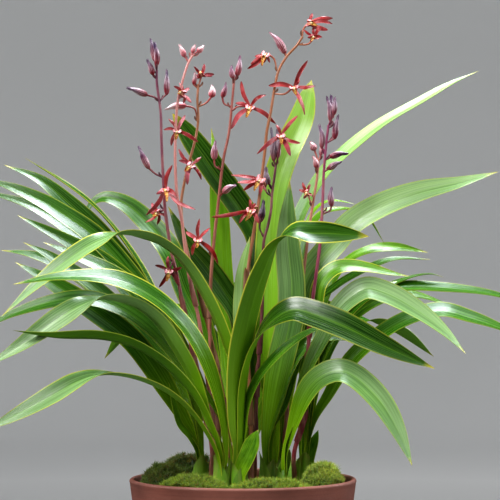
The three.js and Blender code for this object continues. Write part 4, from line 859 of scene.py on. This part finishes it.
def planting_mix(materials):
    """The filling with its uneven top, and the bark chips that lie on it."""
    rng = np.random.default_rng(11)
    body = Body()
    low = FLOOR + GAP
    rings = [(inner_at(z) - 0.6, z) for z in (low, 100, SOIL_TOP - 3)]
    radii = np.linspace(inner_at(SOIL_TOP) - 1.5, 3, 30)
    tops = [(r, SOIL_TOP - SOIL_DIP + 0.8 * math.sin(r * 0.9)) for r in radii]
    body.add(*turned([(0, low), (30, low), *rings, *tops, (0, SOIL_TOP - SOIL_DIP)], 96))
    x, y, z = body.points[0].T
    bumps = np.sin(x * 0.51 + 1) * np.cos(y * 0.47) + np.sin(x * 0.23 - y * 0.31)
    z += 0.7 * bumps * (z > SOIL_TOP - SOIL_DIP - 1)
    corners = np.array([[a, b, c] for a in (-1, 1) for b in (-1, 1) for c in (-1, 1)], float)
    faces = [(0, 1, 3, 2), (4, 6, 7, 5), (0, 4, 5, 1), (2, 3, 7, 6), (0, 2, 6, 4), (1, 5, 7, 3)]
    for _ in range(BARK_CHIPS):
        reach = (inner_at(SOIL_TOP) - 9) * math.sqrt(rng.uniform())
        around = rng.uniform(0, 2 * math.pi)
        size = np.array([rng.uniform(3, 8), rng.uniform(2, 4.5), rng.uniform(0.8, 1.8)])
        chip = corners * size * rng.uniform(0.5, 1.2, (8, 3))
        spin, tip = rng.uniform(0, 2 * math.pi), rng.uniform(-0.5, 0.5)
        c, s = math.cos(tip), math.sin(tip)
        chip = chip @ [[c, 0, s], [0, 1, 0], [-s, 0, c]]
        c, s = math.cos(spin), math.sin(spin)
        chip = chip @ [[c, s, 0], [-s, c, 0], [0, 0, 1]]
        chip += [reach * math.cos(around), reach * math.sin(around), SOIL_TOP + rng.uniform(-1, 2.2)]
        body.add(chip, faces, BARK_SLOT, tint=color(*BARK_TONES[rng.integers(4)]), shade=rng.uniform(0, 1))
    put(body.make("bark_mix", materials, 35), "planting_mix")


def mound_point(cushion, share, angle, drop):
    """A place on a cushion's bumpy top, sunk a little into it."""
    (mx, my), (rx, ry), height, turn = cushion
    uneven = 1 + 0.1 * np.sin(3 * angle + turn) + 0.06 * np.sin(5 * angle - turn)
    x = mx + rx * share * uneven * np.cos(angle)
    y = my + ry * share * uneven * np.sin(angle)
    scale = np.minimum(1, (inner_at(SOIL_TOP) - 1.2) / np.maximum(np.hypot(x, y), 1e-6))
    x, y = x * scale, y * scale
    swell = np.sqrt(np.maximum(0, 1 - np.minimum(share, 1) ** 2))
    bump = 1 + 0.14 * np.sin(6.9 * angle + 5.1 * share + turn) * np.sin(3 * share)
    rough = np.sin(0.42 * x + turn) * np.sin(0.47 * y) + 0.6 * np.sin(0.8 * x - 0.7 * y)
    z = SOIL_TOP + GAP + 2 + (height - 2) * swell * bump + 1.1 * rough * np.clip(1.4 - share, 0, 1) - drop
    return np.stack([x, y, np.maximum(z, SOIL_TOP + 0.8)], -1)


def moss(name, cushion, deep, bright, material):
    """A cushion covered in small leafy tufts, with a thin skirt of them round its foot."""
    rng = np.random.default_rng(sum(map(ord, name)))
    deep, bright = color(*deep), color(*bright)
    loops = [mound_point(cushion, share, circle(48), 2.0) for share in np.linspace(0.02, 1, 14)]
    loops.append(loops[-1] * [1, 1, 0] + UPWARD * (SOIL_TOP + GAP))
    body = Body()
    # The skin under the tufts is painted darker than the shaded colour, as painted shade between the tufts.
    loft(body, np.array(loops)[::-1], 0, tint=deep * 0.6)
    share = np.sqrt(rng.uniform(0, 1, MOSS_TUFTS)) * 1.18
    angle = rng.uniform(0, 2 * np.pi, MOSS_TUFTS)
    base = mound_point(cushion, share, angle, 1.9)
    out = (base - [*cushion[0], 0]) * [1, 1, 0] / max(cushion[1])
    axis = unit(out * 0.9 + rng.normal(0, 0.3, base.shape) + UPWARD)
    tone = np.repeat(rng.uniform(0, 1, MOSS_TUFTS), TUFT_BLADES)[:, None]
    size = np.repeat(0.6 + 1.3 * rng.uniform(0, 1, MOSS_TUFTS) ** 2, TUFT_BLADES)[:, None]
    base, axis = np.repeat(base, TUFT_BLADES, 0), np.repeat(axis, TUFT_BLADES, 0)
    count = len(base)
    way = unit(axis * 0.9 + unit(rng.normal(0, 1, (count, 3))) * rng.uniform(0.4, 1.0, (count, 1)))
    side = unit(np.cross(way, rng.normal(0, 1, (count, 3)))) * 0.4
    other = np.cross(way, side)
    tip = base + way * rng.uniform(2.0, 4.4, (count, 1)) * size
    # Tips that would reach through the wall are pulled in.
    far, limit = np.hypot(tip[:, 0], tip[:, 1]), inner_at(SOIL_TOP) - 0.4
    tip[:, :2] *= np.where((far > limit) & (tip[:, 2] < POT_HEIGHT + 1), limit / far, 1.0)[:, None]
    tufts = np.stack([base + side, base - side / 2 + other, base - side / 2 - other, tip], 1)
    pattern = np.array([(0, 1, 3), (1, 2, 3), (2, 0, 3), (2, 1, 0)])
    faces = (np.arange(count)[:, None, None] * 4 + pattern).reshape(-1, 3)
    # Tuft bases take more of the shaded colour than their tips, as painted shade low in the cushion.
    low, high = blend(deep, bright, 0.35 * tone), blend(deep, bright, 0.35 + 0.65 * tone)
    body.add(tufts, faces.tolist(), 0, tint=np.stack([low, low, low, high], 1))
    put(body.make(name + "_tufts", [material]), name)


class Shader:
    """A node material with one principled shader, and short ways to add and join nodes."""

    def __init__(self, name, **settings):
        self.material = bpy.data.materials.new(name)
        self.material.use_nodes = True
        self.tree = self.material.node_tree
        self.surface = self.tree.nodes["Principled BSDF"]
        self.leads = {}
        for key, value in settings.items():
            self.surface.inputs[key.replace("_", " ")].default_value = value

    def add(self, kind, links=(), **settings):
        node = self.tree.nodes.new("ShaderNode" + kind)
        for key, value in settings.items():
            setattr(node, key, value)
        for key, value in dict(links).items():
            if hasattr(value, "is_linked"):
                self.tree.links.new(value, node.inputs[key])
            else:
                node.inputs[key].default_value = value
        return node

    def noise(self, scale, detail, stretch=None):
        where = self.add("TexCoord").outputs["Object"]
        if stretch:
            where = self.add("Mapping", {0: where, 3: stretch}).outputs[0]
        return self.add("TexNoise", {"Vector": where, "Scale": scale, "Detail": detail}).outputs["Fac"]

    def lead(self, by):
        """What leads a wash: a noise, given by its numbers, a value of the piece or its margin."""
        if by not in self.leads:
            if isinstance(by, tuple):
                self.leads[by] = self.noise(*by)
            elif by == "margin":
                self.leads[by] = self.math("ABSOLUTE", self.lead("across"))
            else:
                self.leads[by] = self.add("Attribute", attribute_name=by).outputs["Fac"]
        return self.leads[by]

    def math(self, operation, a, b=0.0, c=0.0):
        return self.add("Math", {0: a, 1: b, 2: c}, operation=operation).outputs[0]

    def span(self, value, low, high, start=0.0, end=1.0):
        return self.add("MapRange", {0: value, 1: low, 2: high, 3: start, 4: end}).outputs[0]

    def mix(self, share, a, b):
        a, b = ((*v, 1.0) if isinstance(v, np.ndarray) else v for v in (a, b))
        return self.add("Mix", {0: share, 6: a, 7: b}, data_type="RGBA").outputs[2]

    def wash(self, tint, *rows):
        """Lays colours over a tint, each from nothing to a share as what leads it goes from low to high."""
        if tint is None:
            tint = self.add("Attribute", attribute_name="tint").outputs["Color"]
        for by, low, high, most, over in rows:
            lead = by if hasattr(by, "is_linked") else self.lead(by)
            tint = self.mix(self.span(lead, low, high, 0.0, most), tint, color(*over))
        return tint

    def running_noise(self, across, along, shade, **settings):
        """A noise that runs along the leaf and differs from leaf to leaf."""
        scales = {"across": across, "along": along, "shade": shade}
        parts = [self.math("MULTIPLY", self.lead(key), scale) for key, scale in scales.items()]
        where = self.add("CombineXYZ", enumerate(parts)).outputs[0]
        return self.add("TexNoise", {"Vector": where, "Scale": 1.0, **settings}).outputs["Fac"]

    def streaks(self, count, wander, *rows):
        """Fine lines along a tepal, laid over its tint in patches."""
        drift = self.math("MULTIPLY", self.lead((wander, 2)), 3.0)
        lines = self.math("SINE", self.math("MULTIPLY_ADD", self.lead("across"), count, drift))
        tint = self.wash(None)
        for low, high, most, over, patches, start, end in rows:
            patch = self.span(self.lead(patches), start, end)
            share = self.math("MULTIPLY", self.span(lines, low, high, 0.0, most), patch)
            tint = self.mix(share, tint, color(*over))
        return tint, lines

    def finish(self, height, strength, distance, **sockets):
        bump = self.add("Bump", {"Height": height, "Strength": strength, "Distance": distance})
        for key, value in {"Normal": bump.outputs[0], **sockets}.items():
            self.tree.links.new(value, self.surface.inputs[key.replace("_", " ")])
        return self.material


def skin(name, base, washes, grain, strength, distance, **settings):
    """A material in washes over one colour, or over the piece's own tints, with a fine grain."""
    m = Shader(name, **settings)
    tint = m.wash(color(*base) if base else None, *washes)
    return m.finish(m.lead(grain), strength, distance, Base_Color=tint)


def leaf_material():
    m = Shader("leaf_green", Specular_IOR_Level=0.36)
    veins = m.running_noise(15.0, 2.4, 60.0, Detail=3.0, Roughness=0.6)
    cloud = m.running_noise(2.2, 5.0, 90.0, Detail=2.0)
    level = m.math("ADD", m.lead("tone"), m.span(cloud, 0.3, 0.7, -0.13, 0.13))
    green = m.wash(
        color(6, 28, 4), (level, 0.0, 0.5, 1.0, (40, 84, 8)), (level, 0.5, 1.0, 1.0, (128, 176, 34)),
        (veins, 0.42, 0.7, 0.4, (88, 134, 26)), (veins, 0.5, 0.3, 0.35, (6, 30, 4)),
        ("under", 0.0, 1.0, 0.6, (92, 136, 10)))
    # Painted sheen, partly waxy bloom: the outer part of some leaves is painted pale, and the half across the
    # midrib that faces the light gets twice as much as the other half.
    wax = m.math("MULTIPLY", m.lead("wax"), m.span(m.lead("along"), 0.3, 0.68))
    wax = m.math("MULTIPLY", wax, m.span(veins, 0.3, 0.6, 0.55, 0.85))
    wax = m.math("MULTIPLY", wax, m.span(m.lead("across"), -0.05, 0.05, 1.0, 0.5))
    wax_and_sheen_green = m.mix(wax, green, color(178, 208, 150))
    ribbed = m.wash(
        wax_and_sheen_green, ("along", 0.5, 0.03, 0.72, (130, 170, 16)), ("margin", 0.06, 0.0, 0.4, (112, 152, 44)))
    margin = m.math("MULTIPLY", m.span(m.lead("margin"), 0.88, 0.97, 0.0, 0.9), m.lead("edge"))
    edged = m.mix(margin, ribbed, color(206, 200, 70))
    tint = m.wash(edged, ("along", 0.965, 0.995, 0.7, (172, 156, 52)))
    rough = m.math("ADD", m.span(veins, 0.3, 0.7, 0.2, 0.34), m.math("MULTIPLY", m.lead("under"), 0.14))
    height = m.math("MULTIPLY_ADD", m.noise(300, 2), 0.15, veins)
    return m.finish(height, 0.5, 0.0004, Base_Color=tint, Roughness=rough)


def bulb_material():
    m = Shader("bulb_green", Roughness=0.5)
    fibre = (220, 3, (1.0, 1.0, 0.12))
    washes = [("along", 0.2, 0.9, 1.0, (84, 132, 22)), (fibre, 0.4, 0.65, 0.35, (86, 76, 34))]
    tint = m.wash(color(96, 126, 30), *washes)
    return m.finish(m.math("ADD", m.lead(fibre), m.lead("across")), 0.3, 0.0003, Base_Color=tint)


def sheath_material():
    fibre = (260, 4, (1.0, 1.0, 0.08))
    washes = [("along", 0.6, 1.0, 0.5, (92, 66, 34)), (fibre, 0.38, 0.68, 0.25, (176, 158, 96))]
    return skin("dry_sheath", None, washes, fibre, 0.4, 0.0003,
                Roughness=0.62, Subsurface_Weight=0.1, Subsurface_Scale=0.001)


def stem_material():
    mottle = (240, 4, (1.0, 1.0, 0.2))
    washes = [(mottle, 0.42, 0.66, 0.25, (204, 150, 138)), ((700, 2), 0.6, 0.7, 0.35, (84, 30, 34))]
    return skin("stem_skin", None, washes, mottle, 0.2, 0.0002,
                Roughness=0.42, Subsurface_Weight=0.12, Subsurface_Scale=0.0012)


def tepal_material():
    m = Shader("tepal_skin", Roughness=0.4, Specular_IOR_Level=0.4)
    tint, lines = m.streaks(15.0, 130, (0.2, 0.95, 0.4, (224, 160, 168), (120, 2), 0.4, 0.62),
                            (-0.3, -0.95, 0.75, (96, 6, 12), (90, 2), 0.36, 0.6))
    tint = m.wash(tint, ("along", 0.22, 0.0, 0.4, (226, 150, 146)),
                  ("margin", 0.82, 1.0, 0.35, (220, 120, 110)), ("along", 0.8, 1.0, 0.5, (92, 10, 14)))
    return m.finish(lines, 0.35, 0.0002, Base_Color=tint)


def bud_material():
    m = Shader("bud_skin", Roughness=0.38, Specular_IOR_Level=0.4)
    tint, lines = m.streaks(13.0, 110, (0.1, 0.9, 0.55, (232, 204, 210), (120, 2), 0.36, 0.6),
                            (-0.2, -0.9, 0.7, (76, 16, 34), (100, 3), 0.36, 0.6))
    tint = m.wash(tint, ("along", 0.25, 0.0, 0.45, (150, 26, 40)))
    return m.finish(lines, 0.4, 0.00025, Base_Color=tint)


def lip_material():
    washes = [("along", 0.6, 0.1, 0.6, (240, 222, 168)), ("margin", 0.55, 0.95, 0.8, (176, 52, 40)),
              ((1100, 1), 0.53, 0.58, 1.0, (140, 18, 18))]
    return skin("lip_skin", None, washes, (500, 2), 0.3, 0.0002,
                Roughness=0.42, Subsurface_Weight=0.2, Subsurface_Scale=0.001)


def moss_material():
    return skin("moss_green", None, [((60, 3), 0.42, 0.62, 0.5, (96, 122, 26))], (900, 2), 0.3, 0.0003,
                Roughness=0.85, Sheen_Weight=0.2, Subsurface_Weight=0.1, Subsurface_Scale=0.001)


def soil_material():
    grain = (260, 5)
    return skin("potting_soil", (24, 18, 14), [(grain, 0.3, 0.7, 1.0, (62, 46, 34))], grain, 0.9, 0.002,
                Roughness=0.95)


def bark_material():
    grain = (300, 5, (1.0, 3.0, 3.0))
    return skin("bark_brown", None, [(grain, 0.35, 0.7, 0.6, (110, 82, 60))], grain, 0.7, 0.0012,
                Roughness=0.85)


def clay_material():
    m = Shader("brown_clay")
    grain, bands = (420, 4), (60, 3, (0.06, 0.06, 6.0))
    tint = m.wash(color(102, 56, 43), ((16, 4), 0.3, 0.7, 1.0, (132, 77, 62)),
                  (bands, 0.4, 0.7, 0.35, (90, 50, 39)), (grain, 0.6, 0.78, 0.3, (126, 78, 58)))
    rough = m.span(m.noise(40, 3), 0.3, 0.7, 0.55, 0.8)
    height = m.math("MULTIPLY_ADD", m.lead(bands), 1.4, m.lead(grain))
    return m.finish(height, 0.35, 0.0008, Base_Color=tint, Roughness=rough)


def backdrop():
    """A pale floor that curves up all round, far behind the pot, painted darker near the pot."""
    m = Shader("floor_with_painted_shade", Roughness=0.9)
    flat_place = m.add("Mapping", {0: m.add("TexCoord").outputs["Object"], 3: (1.0, 1.0, 0.0)}).outputs[0]
    far = m.add("VectorMath", {0: flat_place}, operation="LENGTH").outputs["Value"]
    # Painted shade: the floor goes from dark near the pot to pale far out, to tone down the pool of lamp
    # light round the pot.
    pale = m.mix(m.span(far, 0.6, 2.3), np.array([0.3, 0.3, 0.297]), np.array([0.82, 0.82, 0.81]))
    m.tree.links.new(pale, m.surface.inputs["Base Color"])
    flat, bend, top = 3400.0, 1600.0, 4200.0
    profile = [(0, 0), *((r, 0.0) for r in np.linspace(300, flat, 6))]
    arc = np.linspace(0.1, math.pi / 2, 16)
    profile += [(flat + bend * math.sin(a), bend - bend * math.cos(a)) for a in arc]
    profile += [(flat + bend, z) for z in np.linspace(bend + 400, top, 5)]
    body = Body()
    body.add(*turned(profile, 96, closed=False))
    floor = body.make("studio_floor", [m.material])
    # Leaves mirror the lamps alone, as in a dark studio, so their greens stay deep.
    floor.visible_glossy = False


def studio():
    backdrop()
    scene = bpy.context.scene
    for name, (place, target, size, power, spread, tint) in LAMPS.items():
        light = bpy.data.lights.new(name, "AREA")
        light.shape, light.size, light.energy, light.color = "DISK", size, power, tint
        light.spread = math.radians(spread)
        holder = bpy.data.objects.new(name, light)
        holder.location = place
        holder.rotation_mode = "QUATERNION"
        holder.rotation_quaternion = (Vector((0, 0, target)) - Vector(place)).to_track_quat("-Z", "Y")
        scene.collection.objects.link(holder)
    scene.world = bpy.data.worlds.new("studio_air")
    scene.world.use_nodes = True
    air = scene.world.node_tree.nodes["Background"].inputs
    air["Color"].default_value, air["Strength"].default_value = AIR_COLOR, AIR_STRENGTH
    scene.world.cycles_visibility.glossy = False
    scene.view_settings.view_transform = "Standard"
    scene.view_settings.look = "Medium High Contrast"
    camera = bpy.data.cameras.new("photo_view")
    camera.lens, camera.sensor_width, camera.clip_end = CAMERA_LENS, 36.0, 50.0
    holder = bpy.data.objects.new("photo_view", camera)
    holder.location = EYE * MM
    holder.rotation_euler = (math.radians(CAMERA_PITCH), 0, 0)
    scene.collection.objects.link(holder)
    scene.camera = holder


studio()
leaf_set = [leaf_material(), bulb_material(), sheath_material()]
bloom_set = [stem_material(), tepal_material(), lip_material(), bud_material()]
moss_green = moss_material()
pot(clay_material())
planting_mix([soil_material(), bark_material()])
for name, (*cushion, deep, bright) in CUSHIONS.items():
    moss(name, cushion, deep, bright, moss_green)
for name, (foot, leaves) in SHOOTS.items():
    shoot(name, foot, leaves, leaf_set)
for name, entry in SPIKES.items():
    spike(name, entry, bloom_set)
